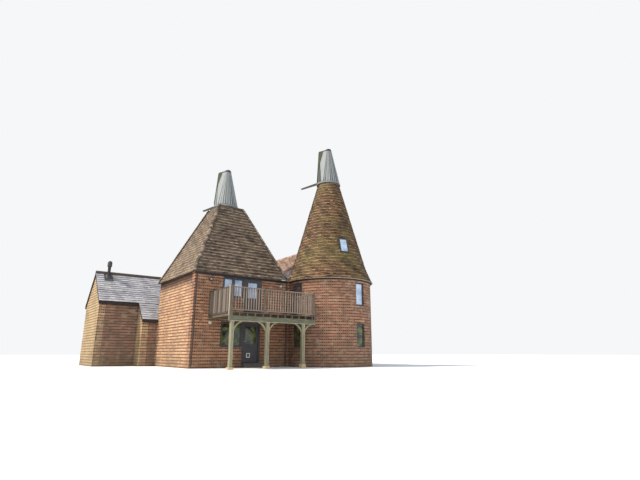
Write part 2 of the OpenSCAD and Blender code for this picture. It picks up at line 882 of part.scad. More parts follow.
screen_t = 22;
module balcony_side_screen() {
  x = bal_x0 + newel_w / 2;
  color("rosybrown") {
    block([x - screen_t, bal_front_y + post_w, deck_top], [x, front_y, rail_top - rail_depth]);
    block([x - newel_w * 0.45, bal_front_y + post_w, rail_top - rail_depth], [x + newel_w * 0.45, front_y, rail_top]);
    for (z = [deck_top + 100, rail_top - 300])
      block([x - cut, bal_front_y + post_w, z], [x + 38, front_y, z + 90]);
  }
}

// A timber frame in X and Z from the origin, with upright bars at given places
module frame_shape(w, h, bars) {
  difference() {
    square([w, h]);
    translate([frame_w, frame_w]) square([w - 2 * frame_w, h - 2 * frame_w]);
  }
  for (b = bars) translate([b - frame_w / 2, 0]) square([frame_w, h]);
}

// The panes of such a frame
module pane_shape(w, h, bars) {
  difference() {
    square([w, h]);
    frame_shape(w, h, bars);
  }
}

// Raises a shape in X and Z to a depth behind the face at Y = 0
module set_back(y0, y1) {
  translate([0, y1, 0]) rotate([90, 0, 0]) linear_extrude(y1 - y0) children();
}

front_pair_w = front_xm - front_x0;
front_light = front_pair_w / 2;
upper_door_w = front_x1 - front_xm;
upper_door_h = upper_head_z - upper_z;

module front_window_frames() {
  color("dimgray") translate([front_x0, front_y, 0]) {
    translate([0, 0, sill_z]) set_back(reveal, reveal + frame_d)
      frame_shape(front_pair_w, head_z - sill_z, [front_light]);
    translate([0, 0, upper_sill_z]) set_back(reveal, reveal + frame_d)
      frame_shape(front_pair_w, upper_head_z - upper_sill_z, [front_light]);
    translate([front_pair_w + rest_gap, 0, upper_z]) set_back(reveal, reveal + frame_d)
      difference() {
        square([upper_door_w - rest_gap, upper_door_h]);
        translate([frame_w + stile_w, upper_sill_z - upper_z])
          square([upper_door_w - 2 * frame_w - 2 * stile_w, upper_head_z - upper_sill_z - 2 * frame_w]);
      }
  }
}

// Frames of the round kiln: two windows to the front right, one under the balcony, and a door
module at_round_opening(a, w, z) {
  at_round(a) translate([round_r, -w / 2, z]) rotate([0, 0, 90]) children();
}

module round_openings(door) {
  small_h = head_z - sill_z;
  for (z = [sill_z, round_head_z - small_h])
    at_round_opening(side_window_a, small_w, z) children(0);
  at_round_opening(low_window_a, small_w, sill_z) children(0);
  if (door) at_round_opening(balcony_door_a, balcony_door_w, upper_z) children(1);
}

round_reveal = reveal + 30;
module round_frames() {
  small_h = head_z - sill_z;
  door_h = round_head_z - upper_z;
  color("dimgray") round_openings(true) {
    set_back(round_reveal, round_reveal + frame_d) frame_shape(small_w, small_h, []);
    set_back(round_reveal, round_reveal + frame_d) difference() {
      square([balcony_door_w, door_h]);
      translate([frame_w + stile_w / 2, door_glass_z])
        square([balcony_door_w - 2 * frame_w - stile_w, door_h - door_glass_z - frame_w * 2]);
    }
  }
}

module range_frames() {
  small_h = head_z - sill_z;
  color("dimgray") {
    for (y = stow_window_ys, z = [head_z, stow_head_z])
      translate([stow_x1, y - small_w / 2, z - small_h]) rotate([0, 0, 90])
        set_back(reveal, reveal + frame_d) frame_shape(small_w, small_h, []);
    for (z = [head_z, stow_head_z])
      translate([round_x + small_w / 2, stow_back, z - small_h]) rotate([0, 0, 180])
        set_back(reveal, reveal + frame_d) frame_shape(small_w, small_h, []);
    translate([-half_w / 2 + small_w / 2, wing_rear_y, sill_z]) rotate([0, 0, 180])
      set_back(reveal, reveal + frame_d) frame_shape(small_w, small_h, []);
  }
}

module small_window_frames() {
  round_frames();
  range_frames();
}

// All fixed panes of the house, each its own solid
module fixed_glass() {
  small_h = head_z - sill_z;
  door_h = round_head_z - upper_z;
  y0 = reveal + (frame_d - glass_t) / 2;
  ry0 = y0 + round_reveal - reveal;
  color("lightblue") {
    translate([front_x0, front_y, 0]) {
      translate([0, 0, sill_z]) set_back(y0, y0 + glass_t)
        pane_shape(front_pair_w, head_z - sill_z, [front_light]);
      translate([0, 0, upper_sill_z]) set_back(y0, y0 + glass_t)
        pane_shape(front_pair_w, upper_head_z - upper_sill_z, [front_light]);
      translate([front_pair_w + rest_gap + frame_w + stile_w, 0, upper_sill_z]) set_back(y0, y0 + glass_t)
        square([upper_door_w - 2 * frame_w - 2 * stile_w, upper_head_z - upper_sill_z - 2 * frame_w]);
    }
    round_openings(true) {
      set_back(ry0, ry0 + glass_t) pane_shape(small_w, small_h, []);
      set_back(ry0, ry0 + glass_t) translate([frame_w + stile_w / 2, door_glass_z])
        square([balcony_door_w - 2 * frame_w - stile_w, door_h - door_glass_z - frame_w * 2]);
    }
    for (y = stow_window_ys, z = [head_z, stow_head_z])
      translate([stow_x1, y - small_w / 2, z - small_h]) rotate([0, 0, 90])
        set_back(y0, y0 + glass_t) pane_shape(small_w, small_h, []);
    for (z = [head_z, stow_head_z])
      translate([round_x + small_w / 2, stow_back, z - small_h]) rotate([0, 0, 180])
        set_back(y0, y0 + glass_t) pane_shape(small_w, small_h, []);
    translate([-half_w / 2 + small_w / 2, wing_rear_y, sill_z]) rotate([0, 0, 180])
      set_back(y0, y0 + glass_t) pane_shape(small_w, small_h, []);
    on_cone(rooflight_a, rooflight_z) block([0, -rooflight_w / 2 + frame_w, -rooflight_h / 2 + frame_w],
      [glass_t, rooflight_w / 2 - frame_w, rooflight_h / 2 - frame_w]);
  }
}

module rooflight() {
  color("dimgray") on_cone(rooflight_a, rooflight_z) difference() {
    block([-roof_t / 2, -rooflight_w / 2, -rooflight_h / 2], [60, rooflight_w / 2, rooflight_h / 2]);
    block([-roof_t, -rooflight_w / 2 + frame_w, -rooflight_h / 2 + frame_w],
      [60 + cut, rooflight_w / 2 - frame_w, rooflight_h / 2 - frame_w]);
  }
}

// Back door, opening inwards on hinges at its right side
door_stop = 20;
seal_gap = 5;
door_y0 = front_y + reveal;
door_y1 = door_y0 + frame_d;
leaf_x0 = front_xm + frame_w + leaf_gap;
leaf_x1 = front_x1 - frame_w - leaf_gap;
leaf_z0 = floor_z + 35 + leaf_gap;
leaf_z1 = head_z - frame_w - leaf_gap;
leaf_y1 = door_y1;
leaf_y0 = leaf_y1 - leaf_t;
stop_d = leaf_y0 - seal_gap - door_y0;
hinge_r = 8;
hinge_pin_r = 5;
hinge_x = front_x1 - frame_w - leaf_gap / 2;
hinge_y = door_y1 + hinge_r + 2;
hinge_h = 50;
hinge_zs = [leaf_z0 + 250, (leaf_z0 + leaf_z1) / 2, leaf_z1 - 250];

module back_door_frame() {
  color("dimgray") {
    difference() {
      block([front_xm + rest_gap, door_y0, floor_z], [front_x1, door_y1, head_z]);
      block([front_xm + frame_w, door_y0 + stop_d, floor_z + 35], [front_x1 - frame_w, door_y1 + cut, head_z - frame_w]);
      block([front_xm + frame_w + door_stop, door_y0 - cut, floor_z + 35],
        [front_x1 - frame_w - door_stop, door_y1, head_z - frame_w - door_stop]);
    }
  }
}

module back_door_hinges() {
  color("silver") for (z = hinge_zs) {
    translate([hinge_x, hinge_y, z - hinge_h]) cylinder(h = hinge_h, r = hinge_r);
    translate([hinge_x, hinge_y, z - cut]) cylinder(h = hinge_h + cut, r = hinge_pin_r);
    block([hinge_x, door_y1, z - hinge_h], [hinge_x + 35, door_y1 + 4, z]);
  }
}

flap_x0 = leaf_x0 + stile_w + flap_in;
flap_border = 36;
module back_door() {
  color("dimgray") difference() {
    union() {
      block([leaf_x0, leaf_y0, leaf_z0], [leaf_x1, leaf_y1, leaf_z1]);
      for (z = hinge_zs) {
        block([leaf_x1 - 40, leaf_y1 - cut, z + rest_gap], [leaf_x1, leaf_y1 + 3, z + hinge_h]);
        block([leaf_x1 - 4, leaf_y1 - cut, z + rest_gap], [leaf_x1, hinge_y, z + hinge_h]);
        translate([hinge_x, hinge_y, z + rest_gap]) cylinder(h = hinge_h - rest_gap, r = hinge_r);
      }
    }
    block([leaf_x0 + stile_w, leaf_y0 - cut, leaf_z0 + door_glass_z], [leaf_x1 - stile_w, leaf_y1 + cut, leaf_z1 - stile_w]);
    block([flap_x0 + flap_border, leaf_y0 - cut, leaf_z0 + flap_z + flap_border],
      [flap_x0 + flap_w - flap_border, leaf_y1 + cut, leaf_z0 + flap_z + flap_h - flap_border]);
    for (z = hinge_zs)
      translate([hinge_x, hinge_y, z - cut]) cylinder(h = hinge_h * 2, r = hinge_pin_r + 0.06);
  }
}

module back_door_glass() {
  mid = (leaf_y0 + leaf_y1) / 2;
  color("lightblue") block([leaf_x0 + stile_w, mid - glass_t / 2, leaf_z0 + door_glass_z],
    [leaf_x1 - stile_w, mid + glass_t / 2, leaf_z1 - stile_w]);
}

// Cat flap: a frame on the outer face of the leaf and a top-hung flap on a pin
flap_gap = 5;
flap_pin_r = 3;
flap_plate = 6;
flap_pin_z = leaf_z0 + flap_z + flap_h - flap_border - 12;
flap_y = leaf_y0 - flap_plate / 2;
module cat_flap_frame() {
  x0 = flap_x0 + flap_border;
  x1 = flap_x0 + flap_w - flap_border;
  z0 = leaf_z0 + flap_z;
  color("white") {
    difference() {
      block([flap_x0, leaf_y0 - 12, z0], [flap_x0 + flap_w, leaf_y0, z0 + flap_h]);
      block([x0, leaf_y0 - 20, z0 + flap_border], [x1, leaf_y0 + cut, z0 + flap_h - flap_border]);
    }
    translate([x0 - 5, flap_y, flap_pin_z]) rotate([0, 90, 0]) cylinder(h = x1 - x0 + 10, r = flap_pin_r);
  }
}

module cat_flap() {
  x0 = flap_x0 + flap_border + flap_gap;
  x1 = flap_x0 + flap_w - flap_border - flap_gap;
  z0 = leaf_z0 + flap_z + flap_border + flap_gap;
  color("ghostwhite") difference() {
    union() {
      block([x0, flap_y - 3, z0], [x1, flap_y + 3, flap_pin_z]);
      translate([x0, flap_y, flap_pin_z]) rotate([0, 90, 0]) cylinder(h = x1 - x0, r = 7);
    }
    translate([x0 - cut, flap_y, flap_pin_z]) rotate([0, 90, 0]) cylinder(h = x1 - x0 + 2 * cut, r = flap_pin_r + 0.06);
  }
}

// Cowl, with its foot at Z = 0 and its mouth towards +Y
cowl_inner_top = cowl_h - 2 * cowl_t;
module cowl_hull(foot, neck, reach, w, h) {
  hull() {
    cylinder(h = 2, r = foot, $fn = 48);
    translate([0, 0, h - 2]) cylinder(h = 2, r = neck, $fn = 32);
    translate([-w / 2, reach - 40, h - 2]) cube([w, 40, 2]);
  }
}

mouth_foot = 860;
mouth_top = 400;
module cowl_shell() {
  difference() {
    cowl_hull(cowl_r, cowl_neck_r, hood_reach, hood_w, cowl_h);
    translate([0, 0, -cut]) cylinder(h = 2 * cut, r = cowl_r - cowl_t);
    cowl_hull(cowl_r - cowl_t, cowl_neck_r - cowl_t, hood_reach - cowl_t, hood_w - 2 * cowl_t, cowl_inner_top);
    translate([0, cowl_r * 2, 0]) rotate([90, 0, 0]) linear_extrude(cowl_r * 1.8)
      polygon([[-mouth_foot / 2, mouth_sill], [mouth_foot / 2, mouth_sill],
        [mouth_top / 2, cowl_inner_top], [-mouth_top / 2, cowl_inner_top]]);
  }
}

cover_t = 12;
module cowl_cap() {
  lip = 12;
  translate([0, 0, cowl_h]) {
    linear_extrude(cover_t) {
      circle(r = cowl_neck_r + lip);
      polygon([[-cowl_neck_r - lip, 0], [cowl_neck_r + lip, 0],
        [hood_w / 2 + lip, hood_reach + lip], [-hood_w / 2 - lip, hood_reach + lip]]);
    }
    translate([0, 0, cover_t - cut]) cylinder(h = cap_h, r1 = cowl_neck_r + lip, r2 = cowl_neck_r - lip);
  }
}

vane_t = 50;
vane_ring = 90;
vane_clear = 5;
// Inner face of the cowl's windward boards at a height, less the seat of the vane's root
function cowl_back(z) = (cowl_r - cowl_t)
  - z * (cowl_r - cowl_neck_r) / cowl_inner_top - vane_t / 2 * tan(3.75) - seat;
module cowl_vane() {
  difference() {
    union() {
      along_x(-vane_t / 2, vane_t / 2)
        polygon([[-cowl_back(mouth_sill), mouth_sill], [vane_reach - 60, mouth_sill],
          [vane_reach, mouth_sill + vane_h * 0.3], [vane_reach, mouth_sill + vane_h * 0.6],
          [cowl_r + 120, mouth_sill + vane_h], [-cowl_back(mouth_sill + vane_h), mouth_sill + vane_h]]);
      translate([0, 0, mouth_sill]) cylinder(h = vane_h, r = vane_ring);
    }
    translate([0, 0, mouth_sill - cut]) cylinder(h = vane_h + 2 * cut, r = spindle_r + vane_clear);
  }
}

// Fixed curb under a cowl: plate, ring, crossed bars and spindle
curb_h = 180;
curb_plate = 40;
bar_w = 90;
module cowl_curb() {
  ring_r = cowl_r - cowl_t - 40;
  difference() {
    union() {
      children();
      cylinder(h = curb_h, r = ring_r);
    }
    translate([0, 0, -cut]) cylinder(h = curb_h + 2 * cut, r = ring_r - 160);
  }
  for (a = [0, 90]) rotate([0, 0, a])
    block([-ring_r + 80, -bar_w / 2, curb_plate], [ring_r - 80, bar_w / 2, curb_plate + bar_w]);
  translate([0, 0, curb_plate])
    cylinder(h = cowl_gap + cowl_inner_top - curb_plate - rest_gap, r = spindle_r);
}

module at_square_cowl() {
  translate([0, 0, roof_top_z + cowl_gap]) rotate([0, 0, cowl_turn]) children();
}

module at_round_cowl() {
  translate([round_x, round_y, cone_top_z + cowl_gap]) rotate([0, 0, cowl_turn]) children();
}

module cowl_curbs() {
  half = roof_top_half - 20;
  color("gray") {
    translate([0, 0, roof_top_z]) cowl_curb() block([-half, -half, 0], [half, half, curb_plate]);
    translate([round_x, round_y, cone_top_z]) cowl_curb() cylinder(h = curb_plate, r = cone_top_r - 5);
  }
}

module square_cowl() {
  color("gainsboro") at_square_cowl() cowl_shell();
}

module square_cowl_cap() {
  color("dimgray") at_square_cowl() cowl_cap();
}

module square_cowl_vane() {
  color("gainsboro") at_square_cowl() cowl_vane();
}

module round_cowl() {
  color("gainsboro") at_round_cowl() cowl_shell();
}

module round_cowl_cap() {
  color("dimgray") at_round_cowl() cowl_cap();
}

module round_cowl_vane() {
  color("gainsboro") at_round_cowl() cowl_vane();
}

square_kiln_front_wall_left();
square_kiln_front_wall_right();
square_kiln_wall_under_windows();
square_kiln_wall_over_door();
square_kiln_side_walls();
square_kiln_back_wall();
square_kiln_roof_front_back();
square_kiln_roof_sides();
square_kiln_hip_tiles();
round_kiln_wall_front_back();
round_kiln_wall_window_side();
round_kiln_wall_right();
round_kiln_wall_door_side();
round_kiln_roof_bays();
round_kiln_roof_between();
ground_floors();
upper_floors();
door_step();
stowage_long_walls();
stowage_end_walls();
stowage_roof_left();
stowage_roof_right();
wing_side_walls();
wing_end_walls();
wing_roof_front();
wing_roof_rear();
wing_flue();
ridge_tiles();
valley_lead();
gutter();
downpipes();
wall_lights();
balcony_posts();
balcony_pads();
balcony_beam();
balcony_braces();
balcony_joists();
balcony_deck();
balcony_newels();
balcony_front_railing();
balcony_return_railing();
balcony_side_screen();
front_window_frames();
back_door_frame();
back_door_hinges();
back_door();
back_door_glass();
cat_flap_frame();
cat_flap();
small_window_frames();
rooflight();
fixed_glass();
cowl_curbs();
square_cowl();
square_cowl_cap();
square_cowl_vane();
round_cowl();
round_cowl_cap();
round_cowl_vane();
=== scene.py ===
"""Finished look of the oast house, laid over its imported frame. Sizes are in metres."""
import random
from itertools import pairwise
from math import cos, floor, hypot, pi, radians, sin, sqrt, tan

import bpy
from mathutils import Matrix, Vector


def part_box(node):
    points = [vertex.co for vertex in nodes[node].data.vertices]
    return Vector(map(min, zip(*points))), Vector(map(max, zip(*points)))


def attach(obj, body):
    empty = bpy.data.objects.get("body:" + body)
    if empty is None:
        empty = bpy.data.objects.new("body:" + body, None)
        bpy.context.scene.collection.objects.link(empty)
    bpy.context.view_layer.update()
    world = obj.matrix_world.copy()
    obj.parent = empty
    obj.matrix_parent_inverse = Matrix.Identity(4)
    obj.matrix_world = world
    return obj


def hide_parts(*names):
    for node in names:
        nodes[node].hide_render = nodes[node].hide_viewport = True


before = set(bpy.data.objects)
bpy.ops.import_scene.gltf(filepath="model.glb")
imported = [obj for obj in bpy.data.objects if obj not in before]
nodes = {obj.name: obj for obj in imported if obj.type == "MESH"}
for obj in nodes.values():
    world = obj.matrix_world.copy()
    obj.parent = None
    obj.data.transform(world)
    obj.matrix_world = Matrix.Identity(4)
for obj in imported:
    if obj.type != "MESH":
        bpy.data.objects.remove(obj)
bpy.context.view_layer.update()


def corners_of(node):
    """Lowest and highest corner of a node, to a tenth of a millimetre."""
    return [tuple(round(c, 4) for c in corner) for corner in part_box(node)]


def solids_of(node):
    """Lowest and highest corner of each solid in a node, whose faces are joined where they share corners."""
    mesh = nodes[node].data
    places = [tuple(round(c, 5) for c in v.co) for v in mesh.vertices]
    solid_at = {place: {place} for place in places}
    for edge in mesh.edges:
        one, other = (solid_at[places[i]] for i in edge.vertices)
        if one is not other:
            one |= other
            solid_at.update((place, one) for place in other)
    solids = {id(solid): solid for solid in solid_at.values()}.values()
    return sorted((tuple(map(min, *solid)), tuple(map(max, *solid))) for solid in solids)


# Square kiln: half its width, its eaves, and half the width of the roof at its foot and at its open top
HALF, _, EAVES_Z = corners_of("square_kiln_side_walls")[1]
_, ROOF_BASE, ROOF_TOP_Z = corners_of("square_kiln_roof_front_back")[1]
ROOF_TOP = 0.72

# Round kiln: its middle, its wall, and a straight cone that sweeps out below SWEEP_Z to the eaves
CONE_LOW, CONE_HIGH = corners_of("round_kiln_roof_bays")
ROUND_C = Vector(((CONE_LOW[0] + CONE_HIGH[0]) / 2, (CONE_LOW[1] + CONE_HIGH[1]) / 2, 0))
ROUND_R = round(ROUND_C.y - corners_of("round_kiln_wall_window_side")[0][1], 4)
ROUND_EAVE_R = round(CONE_HIGH[0] - ROUND_C.x, 4)
CONE_TOP_Z = CONE_HIGH[2]
CONE_TOP_R = 0.66
SWEEP_Z = 5.7
SWEEP = 0.145

# Stowage range: its ridge runs along Y over the middle of the round kiln
STOW_RISE = tan(radians(41.6))
STOW_EAVE_Z = corners_of("valley_lead")[0][2]
STOW_RIDGE_Z = STOW_EAVE_Z + (ROUND_C.x - HALF) * STOW_RISE
STOW_EAVE_X, STOW_VERGE_Y, _ = corners_of("stowage_roof_right")[1]

# Slate wing: its ridge runs along X, and its front slope runs on down over a lean-to beside the kiln
(WING_VERGE_X, LEAN_TO_EAVE_Y, _), (_, WING_RIDGE_Y, WING_RIDGE_Z) = corners_of("wing_roof_front")
WING_BACK_EAVE_Y = corners_of("wing_roof_rear")[1][1]
WING_EAVE_Y = round(2 * WING_RIDGE_Y - WING_BACK_EAVE_Y, 4)
LEAN_TO_VERGE_X = -3.475
WING_RISE = 0.95

# Balcony: the outer ends of its beam, its front, and the tops of deck and rail
(BALCONY_LEFT, BALCONY_FRONT, _), (BALCONY_RIGHT, _, _) = corners_of("balcony_beam")
DECK_TOP = corners_of("balcony_deck")[1][2]
RAIL_TOP = corners_of("balcony_front_railing")[1][2]
POST_W = 0.15

# Plain tiles as laid, and the bricks with their joints
GAUGE = 0.1
TILE_W = 0.165
TILE_T = 0.015
BRICK_L = 0.225
COURSE = 0.075
BRICK_JOINT = 0.008


def tone(code):
    """Linear colour of an sRGB hex code."""
    parts = [int(code[i:i + 2], 16) / 255 for i in (0, 2, 4)]
    return tuple(c / 12.92 if c <= 0.04045 else ((c + 0.055) / 1.055) ** 2.4 for c in parts) + (1.0,)


def add(mat, kind, *values, give=None, **settings):
    """Adds a shader node and gives back an output, the first in use or the one named. Values fill the inputs
    in use from the top. A setting is a property of the node, the stops of its ramp, or an input's name."""
    node = mat.node_tree.nodes.new("ShaderNode" + kind)
    named = {}
    for key, value in settings.items():
        if key == "stops":
            ramp = node.color_ramp.elements
            while len(ramp) < len(value):
                ramp.new(1.0)
            for element, (place, code) in zip(ramp, value):
                element.position = place
                element.color = tone(code)
        elif hasattr(node, key):
            setattr(node, key, value)
        else:
            named[node.inputs[key.replace("_", " ")]] = value
    named.update(zip((socket for socket in node.inputs if socket.enabled), values))
    for socket, value in named.items():
        if isinstance(value, bpy.types.NodeSocket):
            mat.node_tree.links.new(value, socket)
        else:
            socket.default_value = value
    return node.outputs[give] if give else next((socket for socket in node.outputs if socket.enabled), None)


def new_material(name):
    mat = bpy.data.materials.new(name)
    mat.use_nodes = True
    mat.node_tree.nodes.clear()
    return mat


# Settings of a product, and of a mix of two colours: laid over, or as a darkening stain
TIMES = {"operation": "MULTIPLY"}
OVER = {"data_type": "RGBA"}
STAIN = {"data_type": "RGBA", "blend_type": "MULTIPLY"}


def close(mat, colour, roughness, height, strength, distance, **values):
    """Ends a material with the shader, its bump in metres and the output."""
    bump = add(mat, "Bump", Strength=strength, Distance=distance, Height=height)
    shader = add(mat, "BsdfPrincipled", Base_Color=colour, Roughness=roughness, Normal=bump, **values)
    add(mat, "OutputMaterial", Surface=shader)
    return mat


def clouds(mat, size, detail, stretch=(1, 1, 1), rough=0.55):
    """Cloudy pattern with patches so many millimetres wide, drawn out along an axis by a small stretch."""
    place = add(mat, "Mapping", Vector=add(mat, "TexCoord", give="Object"), Scale=stretch)
    return add(mat, "TexNoise", Vector=place, Scale=1000 / size, Detail=detail, Roughness=rough)


def tinge(mat, colour, code, pattern, low, high, most, mixing=OVER):
    """Brings in a second colour where a pattern rises from low to high, and at most so much of it."""
    return add(mat, "Mix", add(mat, "MapRange", pattern, low, high, 0.0, most), colour, tone(code), **mixing)


def darken(mat, colour, code, pattern, share):
    """Darkens a colour by a share of a pattern."""
    return add(mat, "Mix", add(mat, "Math", pattern, share, **TIMES), colour, tone(code), **STAIN)


def xyz(mat):
    """Outputs of a place on the object, in metres."""
    return add(mat, "SeparateXYZ", add(mat, "TexCoord", give="Object")).node.outputs


def looks_along_x(mat):
    """1 on faces that look along X, and 0 on others."""
    facing = add(mat, "SeparateXYZ", add(mat, "NewGeometry", give="Normal"))
    return add(mat, "Math", add(mat, "Math", facing, operation="ABSOLUTE"), 0.7, operation="GREATER_THAN")


def wall_place(mat, centre, radius):
    """Length along a wall and height, in metres: along X or Y on flat walls, round the arc on a round one."""
    x, y, z = xyz(mat)
    if centre:
        from_x = add(mat, "Math", x, centre.x, operation="SUBTRACT")
        from_y = add(mat, "Math", y, centre.y, operation="SUBTRACT")
        turn = add(mat, "Math", from_y, from_x, operation="ARCTAN2")
        along = add(mat, "Math", turn, radius, **TIMES)
    else:
        along = add(mat, "Mix", looks_along_x(mat), x, y)
    return add(mat, "CombineXYZ", X=along, Y=z), z


def brick(name, bricks, mortar, pale, centre=None, radius=1.0, front=None, eaves_shade=0.0):
    """Clay bricks in turns of stretchers and headers. To the eye they are dull and gritty, each of its own
    tone, the headers paler, with pale joints, soot, white bloom, green damp at the foot and, where asked
    for, painted shade as a dark band under the eaves. A second set of tones can be given for the faces that
    don't look along X."""
    mat = new_material(name)
    place, height = wall_place(mat, centre, radius)
    each = add(mat, "TexBrick", offset=0.5, squash=0.5, squash_frequency=2, Vector=place, Color1=(0, 0, 0, 1),
               Color2=(1, 1, 1, 1), Mortar=(0.5, 0.5, 0.5, 1), Scale=1.0, Mortar_Size=BRICK_JOINT,
               Mortar_Smooth=0.2, Bias=0.0, Brick_Width=BRICK_L, Row_Height=COURSE)
    joint = each.node.outputs["Fac"]
    shades = add(mat, "ValToRGB", stops=bricks, Fac=each)
    if front:
        front_shades = add(mat, "ValToRGB", stops=front, Fac=each)
        shades = add(mat, "Mix", looks_along_x(mat), front_shades, shades, **OVER)
    pair = add(mat, "Math", height, 1 / (2 * COURSE), **TIMES)
    header = add(mat, "Math", add(mat, "Math", pair, operation="FRACT"), 0.5, operation="GREATER_THAN")
    patch = add(mat, "MapRange", clouds(mat, 588.2, 5), 0.35, 0.65, 0.75, 1.0)
    chosen = add(mat, "MapRange", each, 0.3, 0.7, 0.5, 1.0)
    chosen = add(mat, "Math", patch, chosen, **TIMES)
    paler = add(mat, "Math", header, chosen, **TIMES)
    shades = add(mat, "Mix", paler, shades, tone(pale), **OVER)
    shades = darken(mat, shades, "8A6050", add(mat, "Math", 1.0, header, operation="SUBTRACT"), 0.7)
    # Sand of 2 mm is too fine to show, so the grit is drawn eight times as coarse
    grit = clouds(mat, 16.67, 4)
    stain = clouds(mat, 1111.1, 5)
    shades = darken(mat, shades, "4A3228", grit, 0.45)
    shades = tinge(mat, shades, "75605A", stain, 0.45, 0.7, 0.55, STAIN)
    shades = tinge(mat, shades, "CDB698", clouds(mat, 322.6, 6), 0.55, 0.72, 0.4)
    mortar_shade = add(mat, "Mix", grit, tone(mortar), tone("9A8C7C"), **OVER)
    colour = add(mat, "Mix", joint, shades, mortar_shade, **OVER)
    foot = add(mat, "MapRange", height, 0.1, 1.7, 0.6, 0.0)
    damp = add(mat, "Math", foot, stain, **TIMES)
    colour = add(mat, "Mix", damp, colour, tone("6A5E46"), **OVER)
    # Painted shade: a dark band under the eaves, where their shadow falls on the wall.
    if eaves_shade:
        colour = tinge(mat, colour, "54382C", height, EAVES_Z - 0.62, EAVES_Z - 0.25, eaves_shade, STAIN)
    sandy = add(mat, "Math", grit, 0.35, **TIMES)
    return close(mat, colour, 0.9, add(mat, "Math", sandy, joint, operation="SUBTRACT"), 0.9, 0.009)


def tiles(name, shades, moss, moss_amount, dirt="4A4038", edge="2C2520"):
    """Clay plain tiles or slates. To the eye they are dull, each of its own tone, which the mesh gives as its
    tint, with painted shadow on the edge under its tail, and with moss and grime."""
    mat = new_material(name)
    tint = add(mat, "Attribute", attribute_name="tint", give="Fac")
    # Grit again, drawn coarser than its 2 mm so that it shows
    grain = clouds(mat, 16.67, 4)
    colour = darken(mat, add(mat, "ValToRGB", stops=shades, Fac=tint), dirt, grain, 0.35)
    patch = add(mat, "MapRange", clouds(mat, 1428.6, 5), 0.45, 0.7, 0.0, moss_amount)
    fleck = add(mat, "MapRange", clouds(mat, 111.1, 5), 0.45, 0.62, 0.25, 1.0)
    mossy = add(mat, "Math", patch, fleck, **TIMES)
    colour = add(mat, "Mix", mossy, colour, tone(moss), **OVER)
    colour = tinge(mat, colour, dirt, clouds(mat, 625, 5), 0.48, 0.72, 0.6, STAIN)
    # The edges under the tails, tinted under 0, take the last colour as painted shadow.
    colour = add(mat, "Mix", add(mat, "Math", tint, 0.0, operation="LESS_THAN"), colour, tone(edge), **OVER)
    return close(mat, colour, 0.85, grain, 0.5, 0.004)


def ridge_capping(name, shades, pitch):
    """Half-round clay ridge tiles along Y: dull, each of its own tone, with a dark joint at every length.
    Those on the wing, left of the kiln's right wall, are dark with age."""
    mat = new_material(name)
    x, y, _ = xyz(mat)
    place = add(mat, "Math", y, 1 / pitch, **TIMES)
    number = add(mat, "Math", place, operation="FLOOR")
    each = add(mat, "TexWhiteNoise", noise_dimensions="1D", W=number, give="Value")
    grain = clouds(mat, 20, 4)
    colour = darken(mat, add(mat, "ValToRGB", stops=shades, Fac=each), "6A5248", grain, 0.4)
    joint = add(mat, "Math", add(mat, "Math", place, operation="FRACT"), 0.05, operation="LESS_THAN")
    colour = add(mat, "Mix", joint, colour, tone("3A302C"), **OVER)
    on_wing = add(mat, "Math", x, HALF, operation="LESS_THAN")
    aged = add(mat, "Mix", grain, tone("5C5048"), tone("3C332E"), **OVER)
    colour = add(mat, "Mix", on_wing, colour, aged, **OVER)
    return close(mat, colour, 0.85, grain, 0.5, 0.004)


def timber(name, shades, axis="Z", dark="4A443C", places=(0.2, 0.5, 0.8), worn=None, own=0.35):
    """Sawn and weathered timber. The eye sees grain along one axis, dark shakes and greyed patches. Where
    worn gives a dark and a pale tone, boards differ by tint between them, which is wear and, on the
    cowls, also painted light and shade, and own says how much."""
    mat = new_material(name)
    long = {"X": (0.06, 1, 1), "Y": (1, 0.06, 1), "Z": (1, 1, 0.06)}[axis]
    # Growth rings are 3 mm apart, and too fine to show, so the grain is drawn seven times as wide
    grain = clouds(mat, 22.22, 5, long, 0.65)
    streak = clouds(mat, 142.9, 4, long)
    greyed = add(mat, "Math", clouds(mat, 714.3, 3), 0.5, **TIMES)
    colour = add(mat, "ValToRGB", stops=list(zip(places, shades)), Fac=grain)
    colour = tinge(mat, colour, dark, streak, 0.52, 0.72, 0.6)
    colour = add(mat, "Mix", greyed, colour, tone("B8B09A"), data_type="RGBA", blend_type="OVERLAY")
    if worn:
        tint = add(mat, "Attribute", attribute_name="tint", give="Fac")
        board = add(mat, "ValToRGB", stops=[(0.15, worn[0]), (0.7, worn[1])], Fac=tint)
        streaky = add(mat, "Math", streak, 0.9, **TIMES)
        colour = add(mat, "Mix", streaky, colour, board, **STAIN)
        share = add(mat, "Math", tint, own, **TIMES) if own < 0.5 else own
        colour = add(mat, "Mix", share, colour, board, **OVER)
    return close(mat, colour, 0.8, grain, 0.5, 0.003)


def smooth(name, code, roughness, dirt=0.15, metallic=0.0, size=83.3, second="8A8680", bump=0.1):
    """A painted, moulded, cast or metal face: even to the eye, with faint clouds of dirt and uneven gloss."""
    mat = new_material(name)
    cloud = clouds(mat, size, 5)
    colour = tinge(mat, tone(code), second, cloud, 0.4, 0.75, dirt)
    gloss = add(mat, "MapRange", cloud, 0.0, 1.0, roughness - 0.08, roughness + 0.08)
    return close(mat, colour, gloss, cloud, bump, 0.002, Metallic=metallic)


